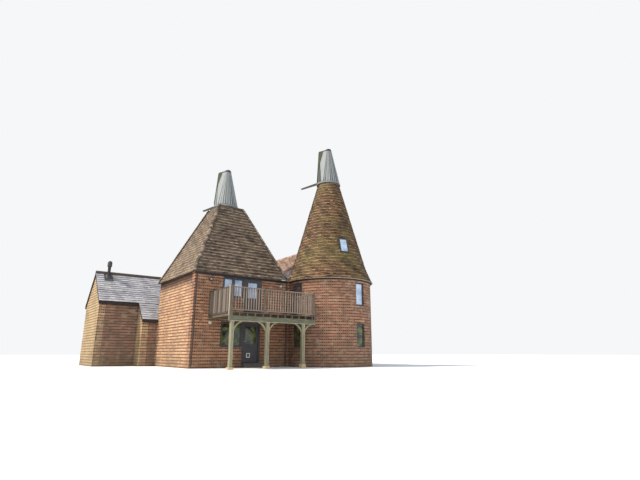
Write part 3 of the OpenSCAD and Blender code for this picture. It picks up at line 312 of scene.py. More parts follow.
def glazing(name, sky, garden):
    """Float glass, glossy, with what it shows painted into its colour: a painted reflection of pale sky in
    the panes of the upper storey and of dark leaves in those below, and painted shade for the dark room
    behind the balcony's door, which stands in the eaves' shade."""
    mat = new_material(name)
    upper_floor, shaded_x, shaded_half = 2.6, 3.1, 0.42
    x, _, z = xyz(mat)
    wave = add(mat, "MapRange", clouds(mat, 454.5, 4), 0.45, 0.7, 0.0, 0.6)
    above = add(mat, "Mix", wave, tone(sky), tone("4E6478"), **OVER)
    below = tinge(mat, tone(garden), "6C7236", clouds(mat, 285.7, 5), 0.40, 0.64, 0.85)
    room = add(mat, "Mix", wave, tone("2E2628"), tone("6A5E5C"), **OVER)
    beside = add(mat, "Math", add(mat, "Math", x, shaded_x, operation="SUBTRACT"), operation="ABSOLUTE")
    shaded = add(mat, "Math", beside, shaded_half, operation="LESS_THAN")
    upper = add(mat, "Math", z, upper_floor, operation="GREATER_THAN")
    lit = add(mat, "Math", upper, shaded, operation="SUBTRACT")
    colour = add(mat, "Mix", lit, below, above, **OVER)
    colour = add(mat, "Mix", add(mat, "Math", shaded, upper, **TIMES), colour, room, **OVER)
    return close(mat, colour, 0.06, wave, 0.05, 0.002, IOR=1.5, Specular_IOR_Level=0.8, Coat_Weight=0.3,
                 Coat_Roughness=0.02)


# Fired clay bricks: red on the front, orange in the sun with painted shade under the kiln's eaves, dull
# and dark with painted shade on the wing, yellow on its gables
RED = [(0, "40221A"), (0.3, "883C22"), (0.55, "AA502C"), (0.8, "C26838"), (1, "583026")]
ORANGE = [(0, "7C4024"), (0.3, "AC5C30"), (0.6, "C67640"), (0.85, "D49054"), (1, "8A5A40")]
# The wing's red is dark as painted shade, for the shade its walls stand in.
SHADED_RED = [(0, "301A14"), (0.3, "6A3424"), (0.55, "844430"), (0.8, "965640"), (1, "442A22")]
YELLOW = [(0, "A88450"), (0.4, "C49E60"), (0.8, "D4B070"), (1, "A07850")]
front_brick = brick("weathered red clay brick", RED, "A2866A", "D49A6C")
shaded_wing_brick = brick("red clay brick of the wing, dark with painted shade", SHADED_RED, "8E7C68", "A87C5E")
side_brick = brick("sunlit orange clay brick", ORANGE, "D2B892", "ECC296")
# The kiln's sunlit walls carry painted shade as a dark band under the eaves.
kiln_brick = brick("sunlit orange clay brick, stained under the eaves", ORANGE, "D2B892", "ECC296",
                   eaves_shade=0.9)
round_brick = brick("weathered red clay brick on the curve", RED, "98846C", "BC8E6C", ROUND_C, ROUND_R)
stock_brick = brick("yellow stock brick", YELLOW, "C8B898", "D8BC84", front=RED)

# Fired clay tiles and riven slate: matt, mossy on the cone, pink and new on the range, pale grey on the wing
kiln_tile = tiles("brown clay plain tiles",
                  [(0, "42342A"), (0.3, "725E4C"), (0.7, "A08A72"), (1, "BEA78E")], "8E8664", 0.35)
cone_tile = tiles("red-brown clay plain tiles",
                  [(0, "3A2A1E"), (0.3, "684A32"), (0.7, "866444"), (1, "A6865C")], "70703A", 0.8)
range_tile = tiles("pink clay plain tiles",
                   [(0, "A68674"), (0.4, "BE9C89"), (0.8, "DAC1B1"), (1, "F0E0D4")],
                   "A8A288", 0.2, "8E766A", "AC9280")
bonnet_tile = tiles("dark bonnet tiles", [(0, "4C4036"), (0.5, "7A695C"), (1, "AA9684")], "827C60", 0.25,
                    "4A403A")
slate = tiles("blue-grey slate", [(0, "85858A"), (0.4, "A9A7AC"), (0.8, "CAC8CC"), (1, "A6A09E")],
              "B0AC8C", 0.2, "B0B0B2", "525256")
range_ridge = ridge_capping("pink ridge tiles", [(0, "9C7C70"), (0.5, "B49486"), (1, "C8AEA2")], 0.3)

# Green oak, gone silver and green with algae: pale posts, a darker beam, and bright edges that are worn
# and painted pale as highlight
oak_up = timber("green-grey oak posts", ("565446", "858369", "B0AC90"))
oak_along = timber("green-grey oak beam", ("3A3C30", "5E604E", "909078"), "X")
oak_edge_wear_and_highlight = timber("pale oak edges, worn and with painted highlight", ("8E8470", "A89E8A", "BEB4A2"))
curb_wood = timber("weathered oak curb", ("4E4A42", "6E6A62", "8A867C"), "X")

# Sawn softwood, grey-brown and dry. The screen behind the close boards is dark, as painted shade where it
# shows in the gaps between them
soft_up = timber("grey-brown softwood balusters", ("54473F", "85766B", "B4A599"))
dark_screen_and_gap_shade = timber("dark screen behind the close boards, with painted shade", ("2E2722", "4A4038", "685C52"))
screen_each = timber("grey-brown close boards", ("3A3029", "64584E", "8C8074"),
                     worn=("544840", "A89A8C"))
soft_along = timber("grey-brown softwood deck boards", ("423830", "63574E", "8A7E72"), "X")
newel_wood = timber("brown softwood newels", ("3E342C", "64574C", "8A7E72"))
soft_deep = timber("grey-brown softwood joists", ("40362E", "62544A", "8A7A6A"), "Y")
# Dark stain on the edges of the wing's roof, darkened there also as painted shade, and painted shade on the
# board under the cone's eaves
dark_stain_and_eaves_shade = timber("dark stained boards with painted shade under the eaves", ("17120F", "241C18", "372C26"), "X")
floor_boards = timber("oiled floor boards", ("8A6A44", "A88A62", "BEA27A"), "Y")

# Brushed paint on softwood boards: chalky white with grey streaks, paler away from the mouth and darker
# near it as painted light and shade, mossy at the mouth and dark there with painted shade, dark in the joints
COWL_PLACES = (0.3, 0.5, 0.75)
cowl_white = timber("white painted cowl boards", ("363B3A", "767C7A", "AAAEAC"), "Z", "2A2E2E", COWL_PLACES,
                    ("1E2221", "A6AAA9"), 0.6)
cowl_moss_and_shade = timber("mossy white mouth boards, dark with painted shade", ("1C1E12", "34361E", "5E603C"), "Z", "1A1C10", COWL_PLACES)
cowl_dark = timber("dark joints between cowl boards", ("2C2E30", "3E4042", "565858"))
vane_paint = timber("grey painted vane", ("26281F", "3A3A31", "54524A"), "Y", "20221C")

# Sheet lead: soft and dull, with white bloom in the valley and a bright rubbed welt
saddle_lead = smooth("dark lead apron", "5E605C", 0.6, 0.6, 0.2, 111.1, "86888A", 0.3)
bright_lead = smooth("bright rubbed lead edge", "E2E2DE", 0.5, 0.2, 0.1)
valley_sheet = smooth("white-bloomed lead valley", "CDC0AE", 0.8, 0.6, 0.0, 142.9, "A89A88", 0.3)
cap_metal = smooth("dark weathered lead cap", "3A3A3C", 0.6, 0.3, 0.2)
rim_tar = smooth("black tarred rim", "1C1C1E", 0.7, 0.1)

# Spray-painted joinery, moulded plastics, pressed glass and metals: even, with a sheen that fits each
joinery = smooth("anthracite painted joinery", "343134", 0.4)
rain_black = smooth("black rainwater plastic", "2A2428", 0.35)
pipe_brown = smooth("brown-black rainwater pipe", "362822", 0.4)
white_plastic = smooth("white plastic", "E4E2DA", 0.35)
smoked = smooth("smoked clear plastic", "3A3C3C", 0.2)
opal = smooth("opal lamp glass", "C2BAAC", 0.25)
steel = smooth("brushed steel", "9A9A98", 0.35, 0.1, 0.9)
black_metal = smooth("matt black flue paint", "1E1E20", 0.6)
# The panes' colour holds painted reflections of sky and leaves, and painted shade behind the balcony's door.
panes = glazing("painted reflections of sky and garden in the panes", "BCCDE2", "23281E")

# Sawn stone, mortar and screed: matt and open, with broad stains
stone = smooth("pale tan sandstone", "C2A882", 0.9, 0.6, 0, 111.1, "8E7E64", 0.8)
step_stone = smooth("dark worn step stone", "57514A", 0.85, 0.5, 0, 111.1, "7A7266", 0.8)
mortar_fillet = smooth("pale lime mortar", "C8BCA6", 0.95, 0.5, 0, 71.4, "8C8270", 0.8)
screed = smooth("grey screed", "9E988C", 0.9)

# What every node of the frame is made of
LOOKS = {
    front_brick: ("square_kiln_front_wall_left", "square_kiln_front_wall_right",
                  "square_kiln_wall_under_windows", "square_kiln_wall_over_door"),
    kiln_brick: ("square_kiln_side_walls", "square_kiln_back_wall"),
    kiln_tile: ("square_kiln_roof_front_back", "square_kiln_roof_sides"),
    bonnet_tile: ("square_kiln_hip_tiles",),
    round_brick: ("round_kiln_wall_front_back", "round_kiln_wall_window_side", "round_kiln_wall_right",
                  "round_kiln_wall_door_side"),
    cone_tile: ("round_kiln_roof_bays", "round_kiln_roof_between"),
    screed: ("ground_floors",),
    floor_boards: ("upper_floors",),
    step_stone: ("door_step",),
    side_brick: ("stowage_long_walls", "stowage_end_walls"),
    range_tile: ("stowage_roof_left", "stowage_roof_right"),
    shaded_wing_brick: ("wing_side_walls",),
    stock_brick: ("wing_end_walls",),
    dark_stain_and_eaves_shade: ("wing_roof_front", "wing_roof_rear"),
    black_metal: ("wing_flue",),
    range_ridge: ("ridge_tiles",),
    valley_sheet: ("valley_lead",),
    rain_black: ("gutter",),
    pipe_brown: ("downpipes",),
    opal: ("wall_lights",),
    oak_up: ("balcony_posts", "balcony_braces"),
    stone: ("balcony_pads",),
    oak_along: ("balcony_beam",),
    soft_deep: ("balcony_joists",),
    soft_along: ("balcony_deck",),
    newel_wood: ("balcony_newels",),
    soft_up: ("balcony_front_railing", "balcony_return_railing"),
    dark_screen_and_gap_shade: ("balcony_side_screen",),
    joinery: ("front_window_frames", "back_door_frame", "back_door", "small_window_frames", "rooflight"),
    steel: ("back_door_hinges",),
    panes: ("back_door_glass", "fixed_glass"),
    white_plastic: ("cat_flap_frame",),
    smoked: ("cat_flap",),
    curb_wood: ("cowl_curbs",),
    cowl_dark: ("square_cowl", "round_cowl"),
    cap_metal: ("square_cowl_cap", "round_cowl_cap"),
    vane_paint: ("square_cowl_vane", "round_cowl_vane"),
}
for mat, names in LOOKS.items():
    for name in names:
        data = nodes[name].data
        data.materials.clear()
        data.materials.append(mat)

# How tiles lie: tails lifted by the tiles below, heads on the battens, a gap at each side, and no two alike
TAIL_LIFT = 1.7 * TILE_T
HEAD_LIFT = 0.002
TAIL_OVERHANG = 0.004
SIDE_GAP = 0.0015
LEAST_W = 0.02

# Faces of a box by its corners, low level first, and of a band whose inner ring follows its outer one
BOX_FACES = [(3, 2, 1, 0), (4, 5, 6, 7), (0, 1, 5, 4), (1, 2, 6, 5), (2, 3, 7, 6), (3, 0, 4, 7)]
BAND_FACES = [(0, 1, 2, 3), (4, 5, 1, 0), (3, 2, 6, 7)]
FULL_TURN = 2 * pi


def spaced(start, end, count):
    """Even values from start to end, with so many steps between them."""
    return [start + (end - start) * k / count for k in range(count + 1)]


def on_circle(centre, radius, angle, z):
    """Point of a level circle."""
    return Vector((centre.x + radius * cos(angle), centre.y + radius * sin(angle), z))


def new_object(name, data):
    obj = bpy.data.objects.new(name, data)
    bpy.context.scene.collection.objects.link(obj)
    return obj


class Piece:
    """Gathers faces with a tint each, and becomes one object that rides with a body. courses gives the tones
    of alternate courses of tiles, a banding of painted shade that stands for the shadow lines between
    courses, and place carries the piece's own frame into the house's."""

    def __init__(self, seed, courses=(0.1, 0.58), place=Matrix()):
        self.points, self.faces, self.tints = [], [], []
        self.courses, self.place = courses, place
        self.random = random.Random(seed)

    def quads(self, points, faces, tint=0.5):
        start = len(self.points)
        self.points += [tuple(self.place @ Vector(p)) for p in points]
        self.faces += [tuple(start + i for i in face) for face in faces]
        self.tints += [tint] * len(faces)

    def tile(self, points, out, tail, row, painted_light_shift=0.0):
        """A tile from its four corners, tail edge first. Each tile has its own tone, alternate courses differ
        in tone as a banding of painted shade, the last argument makes a tile paler as painted light or, below
        0, darker as painted shade, and the tail's own edge has a tint under 0, which the material takes as
        painted shadow."""
        a, b, c, d = points
        own = 0.3 * self.random.random()
        odd = 0.12 * self.random.gauss(0, 0.6)
        tint = min(1.0, max(0.0, own + self.courses[row % 2] + odd + painted_light_shift))
        lift = out * tail
        low = out * (tail - TILE_T)
        head = out * HEAD_LIFT
        self.quads([a + lift, b + lift, c + head, d + head, a + low, b + low],
                   [(0, 1, 2, 3), (5, 2, 1), (4, 0, 3)], tint)
        start = len(self.points) - 6
        self.faces.append((start + 4, start + 5, start + 1, start))
        self.tints.append(-1.0)

    def bar(self, low, high, tint=0.5):
        (x0, y0, z0), (x1, y1, z1) = low, high
        level = [(x0, y0), (x1, y0), (x1, y1), (x0, y1)]
        self.quads([(x, y, z) for z in (z0, z1) for x, y in level], BOX_FACES, tint)

    def finish(self, name, mat, slot, body="house"):
        mesh = bpy.data.meshes.new(name)
        mesh.from_pydata(self.points, [], self.faces)
        tints = mesh.attributes.new("tint", "FLOAT", "FACE")
        tints.data.foreach_set("value", self.tints)
        mesh.materials.append(mat)
        obj = new_object(name, mesh)
        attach(obj, body)
        return obj


def tail_lift(rnd):
    return TAIL_LIFT + rnd.uniform(-0.003, 0.004)


def crooked(rnd):
    return rnd.uniform(-0.006, 0.006)


def slope_tiles(piece, foot, along, up, left, right, length, free, width=TILE_W, gauge=GAUGE,
                painted_light_shift=lambda p: 0.0):
    """Lays courses up a slope. left and right give the ends of a course, in metres along it, at a distance
    up. free says whether a corner may be covered, and the last argument how much paler a tile at its first
    corner is painted, as painted light; below 0 it is painted darker, as painted shade."""
    out = along.cross(up).normalized()
    for row in range(int(length / gauge)):
        foot_at, head_at = row * gauge, min((row + 1) * gauge + TAIL_OVERHANG, length)
        x0, x1 = left(foot_at), right(foot_at)
        half_lap = width / 2 if row % 2 else 0
        first = floor(x0 / width) * width + half_lap - width / 2
        for i in range(int((x1 - first) / width) + 2):
            a, b = first + i * width + SIDE_GAP, first + (i + 1) * width - SIDE_GAP
            a0, b0 = max(a, x0), min(b, x1)
            a1, b1 = max(a, left(head_at)), min(b, right(head_at))
            if b0 - a0 < LEAST_W or b1 <= a1:
                continue
            lift = tail_lift(piece.random)
            # Old battens sag in waves by up to 16 and 10 mm
            sag = 0.016 * sin(a0 * 5.1 + row * 0.9) + 0.010 * sin(a0 * 11.7 + row * 1.7)
            drop = crooked(piece.random)
            tail_at = foot_at + (sag if row else 0) - TAIL_OVERHANG
            points = [foot + along * x + up * s for x, s in
                      ((a0, tail_at + drop), (b0, tail_at - drop), (b1, head_at), (a1, head_at))]
            if all(free(p) for p in points):
                piece.tile(points, out, lift, row, painted_light_shift(points[0]))


def cone_radius(z):
    straight = (ROUND_EAVE_R - SWEEP - CONE_TOP_R) / (CONE_TOP_Z - EAVES_Z)
    swept = ((SWEEP_Z - z) / (SWEEP_Z - EAVES_Z)) ** 2 if z < SWEEP_Z else 0
    return CONE_TOP_R + (CONE_TOP_Z - z) * straight + SWEEP * swept


def clear_of_cone(p):
    return (p.xy - ROUND_C.xy).length > cone_radius(min(p.z, CONE_TOP_Z)) + 0.03


def square_half(z):
    return ROOF_BASE + (ROOF_TOP - ROOF_BASE) * (z - EAVES_Z) / (ROOF_TOP_Z - EAVES_Z)


def clear_of_square_roof(p):
    return max(abs(p.x), abs(p.y)) > square_half(p.z) + 0.02 or p.z > ROOF_TOP_Z


def range_top(x):
    return STOW_RIDGE_Z - abs(x - ROUND_C.x) * STOW_RISE


def clear_of_range(p):
    return p.x < HALF - 0.01 or p.z > range_top(p.x) + 0.03


def wing_top(y):
    return WING_RIDGE_Z - abs(y - WING_RIDGE_Y) * WING_RISE


# Plain tiles on the four slopes of the square kiln, front, right, back and left, which is in the sun.
# The front slope is tinted darker as painted shade and the sunlit left slope paler as painted light
kiln_courses = Piece(3)
run, rise = ROOF_BASE - ROOF_TOP, ROOF_TOP_Z - EAVES_Z
slope = hypot(run, rise)
hip_room = 0.03
for turn, paler in enumerate((-0.08, 0.0, 0.0, 0.16)):
    angle = turn * pi / 2
    along = Vector((cos(angle), sin(angle), 0))
    back = Vector((-sin(angle), cos(angle), 0))
    foot = -back * ROOF_BASE + Vector((0, 0, EAVES_Z))
    up = (back * run + Vector((0, 0, rise))) / slope
    slope_tiles(kiln_courses, foot, along, up, lambda s: run * s / slope - ROOF_BASE + hip_room,
                lambda s: ROOF_BASE - run * s / slope - hip_room, slope,
                lambda p: p.x < HALF or p.z > range_top(p.x) + 0.02, painted_light_shift=lambda p: paler)
kiln_courses.finish("kiln_roof_tiles", kiln_tile, "kiln_tiles")

# Bonnet tiles stepping up the four hips: the outer tail, the head and the inner tail of each, by their
# distance up the hip and radius
BONNET_STEP, BONNET_SINK = 0.16, 0.012
BONNET_RINGS = ((0, 0.112), (0.21, 0.082), (0, 0.094))
bonnets = Piece(5)
bonnet_arc = [radians(-72 + 24 * k) for k in range(7)]
for turn in range(4):
    angle = pi / 4 + turn * pi / 2
    outward = Vector((cos(angle), sin(angle), 0))
    side = Vector((-sin(angle), cos(angle), 0))
    start = outward * ROOF_BASE * sqrt(2) + Vector((0, 0, EAVES_Z))
    end = outward * ROOF_TOP * sqrt(2) + Vector((0, 0, ROOF_TOP_Z))
    up = (end - start).normalized()
    out = side.cross(up).normalized()
    for i in range(int((end - start).length / BONNET_STEP)):
        foot = start + up * (i * BONNET_STEP + 0.01)
        if foot.x > HALF and foot.z < range_top(foot.x) + 0.12:
            continue
        rings = [foot + up * s + out * (r * cos(a) - BONNET_SINK) + side * (r * sin(a))
                 for s, r in BONNET_RINGS for a in bonnet_arc]
        faces = [(k, k + 1, k + 8, k + 7) for k in range(6)] + [(14 + k, 15 + k, k + 1, k) for k in range(6)]
        bonnets.quads(rings, faces, bonnets.random.random())
bonnets.finish("bonnet_tiles", bonnet_tile, "hip_tiles")

# Plain tiles in rings up the cone, left out at the rooflight and where the range's roof covers the cone
ROOFLIGHT_WAY, ROOFLIGHT_HALF = radians(258.5), 0.3
ROOFLIGHT_FOOT, ROOFLIGHT_HEAD = 6.1, 7.0
cone_courses = Piece(7)
z = EAVES_Z
row = 0
while z < CONE_TOP_Z - 0.02:
    r0 = cone_radius(z)
    lean = (r0 - cone_radius(min(z + 0.05, CONE_TOP_Z))) / 0.05
    step = GAUGE / hypot(1, lean)
    z1 = min(z + step * 1.04, CONE_TOP_Z)
    r1 = cone_radius(z1)
    count = round(FULL_TURN * r0 / TILE_W)
    half = pi / count * 0.985
    for i in range(count):
        mid = FULL_TURN * (i + 0.5 * (row % 2)) / count
        drop = crooked(cone_courses.random)
        # The sag of old battens again, by up to 19 and 12 mm
        sag = 0.019 * sin(mid * 11 + row * 0.8) + 0.012 * sin(mid * 23 + row * 1.9) if row else 0
        tail_z = z - TAIL_OVERHANG + sag
        points = [on_circle(ROUND_C, r, a, h) for a, r, h in
                  ((mid - half, r0, tail_z + drop), (mid + half, r0, tail_z - drop),
                   (mid + half, r1, z1), (mid - half, r1, z1))]
        p = points[0]
        if p.x > HALF and p.y > -HALF and p.z < range_top(p.x) - 0.02:
            continue
        if abs(mid % FULL_TURN - ROOFLIGHT_WAY) < ROOFLIGHT_HALF / r0 and ROOFLIGHT_FOOT < z < ROOFLIGHT_HEAD:
            continue
        out = Vector((cos(mid), sin(mid), lean)).normalized()
        cone_courses.tile(points, out, tail_lift(cone_courses.random), row)
    z += step
    row += 1
cone_courses.finish("cone_roof_tiles", cone_tile, "cone_tiles")

# Plain tiles on both slopes of the stowage range, painted palest between the two kilns as painted light,
# where the kiln's roof casts its shadow
range_courses = Piece(11)
range_slope = hypot(1, STOW_RISE)
slope_tiles(range_courses, Vector((HALF, 0, STOW_EAVE_Z)), Vector((0, -1, 0)),
            Vector((1, 0, STOW_RISE)) / range_slope, lambda s: -STOW_VERGE_Y, lambda s: HALF,
            (ROUND_C.x - HALF) * range_slope,
            lambda p: clear_of_cone(p) and clear_of_square_roof(p) and p.z >= wing_top(p.y) + 0.02,
            painted_light_shift=lambda p: 0.75 if p.x < HALF + 1 and p.y < 0.4 else 0.0)
slope_tiles(range_courses, Vector((STOW_EAVE_X, 0, range_top(STOW_EAVE_X))), Vector((0, 1, 0)),
            Vector((-1, 0, STOW_RISE)) / range_slope, lambda s: -HALF, lambda s: STOW_VERGE_Y,
            (STOW_EAVE_X - ROUND_C.x) * range_slope, clear_of_cone)
range_courses.finish("range_roof_tiles", range_tile, "range_tiles")

# Slates on the wing, and on the lean-to left of the kiln and behind it: eaves, ends, top and way round
SLATE_W, SLATE_GAUGE = 0.25, 0.2
WING_END_X = 4.2
slates = Piece(13, (0.34, 0.34))
wing_slope = hypot(1, WING_RISE)
wing_courses = ((WING_EAVE_Y, WING_VERGE_X, WING_END_X, WING_RIDGE_Y, 1),
                (LEAN_TO_EAVE_Y, LEAN_TO_VERGE_X, -HALF, WING_EAVE_Y, 1),
                (HALF + 0.01, -HALF, HALF, WING_EAVE_Y, 1),
                (WING_BACK_EAVE_Y, -WING_END_X, -WING_VERGE_X, WING_RIDGE_Y, -1))
for eave_y, x0, x1, top_y, way in wing_courses:
    slope_tiles(slates, Vector((0, eave_y, wing_top(eave_y))), Vector((way, 0, 0)),
                Vector((0, way, WING_RISE)) / wing_slope, lambda s: x0, lambda s: x1,
                abs(top_y - eave_y) * wing_slope, clear_of_range, SLATE_W, SLATE_GAUGE)
slates.finish("wing_slates", slate, "slates")

# Cowl: a round foot, boards leaning in to a neck and a hood, and a mouth that narrows to its head
(_, _, cowl_foot), (_, _, cowl_head) = corners_of("square_cowl")
COWL_H = round(cowl_head - cowl_foot, 4)
COWL_TURN = radians(13.5)
COWL_R, NECK_R = 0.71, 0.17
HOOD_REACH, HOOD_HALF = 0.55, 0.25
SILL, MOUTH_HEAD = 0.3, COWL_H - 0.06
MOUTH_FOOT_HALF, MOUTH_HEAD_HALF = 0.43, 0.2
BOARD_COUNT = 30
BOARD_T = 0.034


def cowl_face(a, z, grow=0.0):
    """Point of a cowl's outer face in a direction at a height, in the cowl's own frame."""
    way = Vector((cos(a), sin(a), 0))
    hood = [Vector((x, y, 0)) for x in (-HOOD_HALF, HOOD_HALF) for y in (HOOD_REACH - 0.04, HOOD_REACH)]
    top = max([way * NECK_R] + hood, key=lambda p: p.dot(way))
    point = (way * COWL_R).lerp(top, z / COWL_H)
    return Vector((point.x, point.y, z)) + way * grow


def mouth_half(z):
    return MOUTH_FOOT_HALF + (MOUTH_HEAD_HALF - MOUTH_FOOT_HALF) * (z - SILL) / (MOUTH_HEAD - SILL)


def jamb_way(z, side):
    """Direction in which the cowl's face meets the edge of its mouth at a height."""
    low, high = pi / 2, pi / 2 + side * pi / 2
    for _ in range(24):
        mid = (low + high) / 2
        if abs(cowl_face(mid, z).x) < mouth_half(z):
            low = mid
        else:
            high = mid
    return (low + high) / 2


CORNER_WAY = {side: jamb_way(SILL + 0.01, side) for side in (-1, 1)}


def beside_mouth(a, z):
    """The direction a, or the nearer jamb's if a falls in the mouth."""
    right, left = jamb_way(z, -1), jamb_way(z, 1)
    if not right < a < left:
        return a
    return right if a - right < left - a else left


def round_the_face(a, z, side, distance, grow):
    """Point at a distance along a cowl's face, from the direction a at a height, moved out by grow."""
    point = cowl_face(a, z)
    while True:
        a += side * 0.02
        step = cowl_face(a, z) - point
        if step.length >= distance:
            along = step.normalized()
            return point + along * distance + along.cross(Vector((0, 0, side))) * grow
        distance -= step.length
        point += step


def corner_board_width(z):
    return 0.16 + 0.17 * (z - SILL) / (COWL_H - SILL)


def under_corner_board(a, z):
    """Whether a point of the round part of the face is hidden by the board beside the mouth."""
    past_corner = min(CORNER_WAY[-1] - a, a - CORNER_WAY[1], key=abs)
    if z < SILL or not 0 <= past_corner < 1:
        return False
    return COWL_R * (1 - z / COWL_H) * past_corner < corner_board_width(z) - 0.03


def upright_boards(boards, mouth_boards):
    """Boards from the foot to the head, each with its own width, thickness and tone, cut at the mouth. They
    are painted paler the farther they face from the mouth, and darker near it, as painted light and shade,
    and those beside the mouth take the mossy boards' colour, which is partly painted shade.
    """
    for i in range(BOARD_COUNT):
        gap = boards.random.uniform(0.08, 0.24)
        a0, a1 = (FULL_TURN * (i + share) / BOARD_COUNT for share in (gap, 1 - gap))
        below = [(z, (a0, a1)) for z in (0.13, SILL)]
        above = [(z, (beside_mouth(a0, z), beside_mouth(a1, z))) for z in spaced(SILL, COWL_H - 0.04, 14)]
        thick = boards.random.uniform(0.010, 0.022)
        # Painted light and shade: the farther a board faces from the mouth, the paler its tint.
        painted_light_from_mouth = (1 - cos((a0 + a1) / 2 - pi / 2)) / 2
        tint = 0.7 * boards.random.random() + 0.4 * painted_light_from_mouth
        # Boards beside the mouth go with the mossy boards, whose dark colour is partly painted shade.
        beside = min(abs(a0 - CORNER_WAY[1]), abs(a1 - CORNER_WAY[-1])) < 0.42
        for (z0, (b0, b1)), (z1, (c0, c1)) in [*pairwise(below), *pairwise(above)]:
            ring = ((b0, z0), (b1, z0), (c1, z1), (c0, z1))
            in_mouth = abs(b1 - b0) < 1e-3 and abs(c1 - c0) < 1e-3
            if in_mouth or all(under_corner_board(a, z) for a, z in ring):
                continue
            (mouth_boards if beside else boards).quads(
                [cowl_face(a, z, grow) for grow in (thick, 0) for a, z in ring],
                [(0, 1, 2, 3), (4, 0, 3, 7), (1, 5, 6, 2), (4, 5, 1, 0), (3, 2, 6, 7)], tint)


def hoop(piece, z0, z1, thick):
    """Band round the whole cowl."""
    for a, b in pairwise(spaced(0, FULL_TURN, 48)):
        ring = [cowl_face(t, z, grow) for grow in (thick, 0) for t, z in ((a, z0), (b, z0), (b, z1), (a, z1))]
        piece.quads(ring, BAND_FACES)


def jamb(piece, side):
    """Board on edge along one side of the mouth, from the corner board round into the cowl."""
    face_end, room_end, depth = Vector((side * 0.075, -0.02, 0)), Vector((side * 0.075, -0.075, 0)), 0.075
    for z0, z1 in pairwise(spaced(SILL, COWL_H - 0.08, 10)):
        strip = []
        for z in (z0, z1):
            face = cowl_face(jamb_way(z, side), z, BOARD_T)
            strip += [cowl_face(CORNER_WAY[side], z, BOARD_T), face, face + face_end, face + room_end,
                      face + Vector((0, -depth, 0))]
        piece.quads(strip, [(k, k + 1, k + 6, k + 5) for k in range(4)])


def corner_board(piece, side):
    """Board beside the mouth that widens upwards and follows the face, closed at its head."""
    corner = CORNER_WAY[side]
    sections = []
    for z in spaced(SILL, COWL_H - 0.08, 8):
        width = corner_board_width(z)
        outer = [round_the_face(corner, z, side, width * (k / 7) ** 2, BOARD_T) for k in range(8)]
        inner = [round_the_face(corner, z, side, at, 0) for at in (0, width)]
        sections.append([inner[0], *outer, inner[1]])
    for low, high in pairwise(sections):
        piece.quads(low + high, [(k, k + 1, k + 11, k + 10) for k in range(9)])
    piece.quads(sections[-1], [tuple(range(10))])


def mouth_sill(piece):
    """Sill across the foot of the mouth, 60 mm deep and 30 mm proud."""
    foot, proud = SILL - 0.06, 0.03
    for a, b in pairwise(spaced(CORNER_WAY[-1], CORNER_WAY[1], 8)):
        front = [cowl_face(t, z, proud) for t, z in ((a, foot), (b, foot), (b, SILL), (a, SILL))]
        back = [cowl_face(t, z, grow) for t, z, grow in
                ((a, foot, 0), (b, foot, 0), (b, SILL, -proud), (a, SILL, -proud))]
        piece.quads(front + back, BAND_FACES)


def dress_cowl(body, centre, seed):
    """The boards, the black rim and the corner boards of a cowl, which turn with it."""
    foot = Vector((centre.x, centre.y, corners_of(body)[0][2]))
    place = Matrix.Translation(foot) @ Matrix.Rotation(COWL_TURN, 4, "Z")
    boards, mouth_boards, rim, corner_boards = (Piece(seed + more, place=place) for more in (0, 1, 10, 20))
    upright_boards(boards, mouth_boards)
    hoop(boards, 0, 0.11, 0.028)
    hoop(rim, COWL_H - 0.075, COWL_H - 0.004, 0.024)
    for side in (-1, 1):
        jamb(mouth_boards, side)
        corner_board(corner_boards, side)
    mouth_sill(mouth_boards)
    boards.finish(body + "_boards", cowl_white, "cowl_boards", body)
    mouth_boards.finish(body + "_mouth_boards", cowl_moss_and_shade, "cowl_boards", body)
    rim.finish(body + "_rim", rim_tar, "cap_metal", body)
    corner_boards.finish(body + "_corner_boards", cowl_moss_and_shade, "cowl_boards", body)


dress_cowl("square_cowl", Vector((0, 0, 0)), 21)
dress_cowl("round_cowl", ROUND_C, 23)

# Close boards of the balcony's left screen, with gaps between them
SCREEN_BOARD_W, SCREEN_PITCH = 0.122, 0.142
screen = Piece(31)
screen_face = BALCONY_LEFT + 0.028
y = BALCONY_FRONT + POST_W
while y < -HALF - 0.02:
    far_y = min(y + SCREEN_BOARD_W, -HALF - 0.001)
    thick = screen.random.uniform(0.010, 0.026)
    screen.bar((screen_face - thick, y, DECK_TOP + 0.02), (screen_face - 0.0005, far_y, RAIL_TOP - 0.06),
               screen.random.random())
    y += SCREEN_PITCH
screen.finish("side_screen_boards", screen_each, "deck_timber")

# Deck boards along the balcony, cut round the kiln, the newel and the pipe
DECK_BOARD_W, DECK_PITCH, DECK_T = 0.139, 0.145, 0.028
PIPE_SIDE_X, PIPE_REACH = 2.65, 0.14
boards = Piece(33)
y = BALCONY_FRONT - 0.02
while y < -HALF - 0.03:
    far_y = min(y + DECK_BOARD_W, -HALF)
    x0 = BALCONY_LEFT + POST_W if y < BALCONY_FRONT + POST_W else BALCONY_LEFT
    x1 = BALCONY_RIGHT
    near = 0.0 if y < ROUND_C.y < far_y else min(abs(y - ROUND_C.y), abs(far_y - ROUND_C.y))
    if near < ROUND_R:
        x1 = min(x1, ROUND_C.x - sqrt((ROUND_R + 0.004) ** 2 - near ** 2))
    seam = boards.random.uniform(-0.6, 1.6)
    if far_y > -HALF - PIPE_REACH:
        x1 = min(x1, PIPE_SIDE_X)
    for a, b in ((x0, seam - 0.002), (seam + 0.002, x1)):
        boards.bar((a, y, DECK_TOP - DECK_T), (b, far_y, DECK_TOP - boards.random.uniform(0, 0.002)))
    y += DECK_PITCH
deck_boards = boards.finish("deck_boards", soft_along, "deck_timber")
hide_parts("balcony_deck")

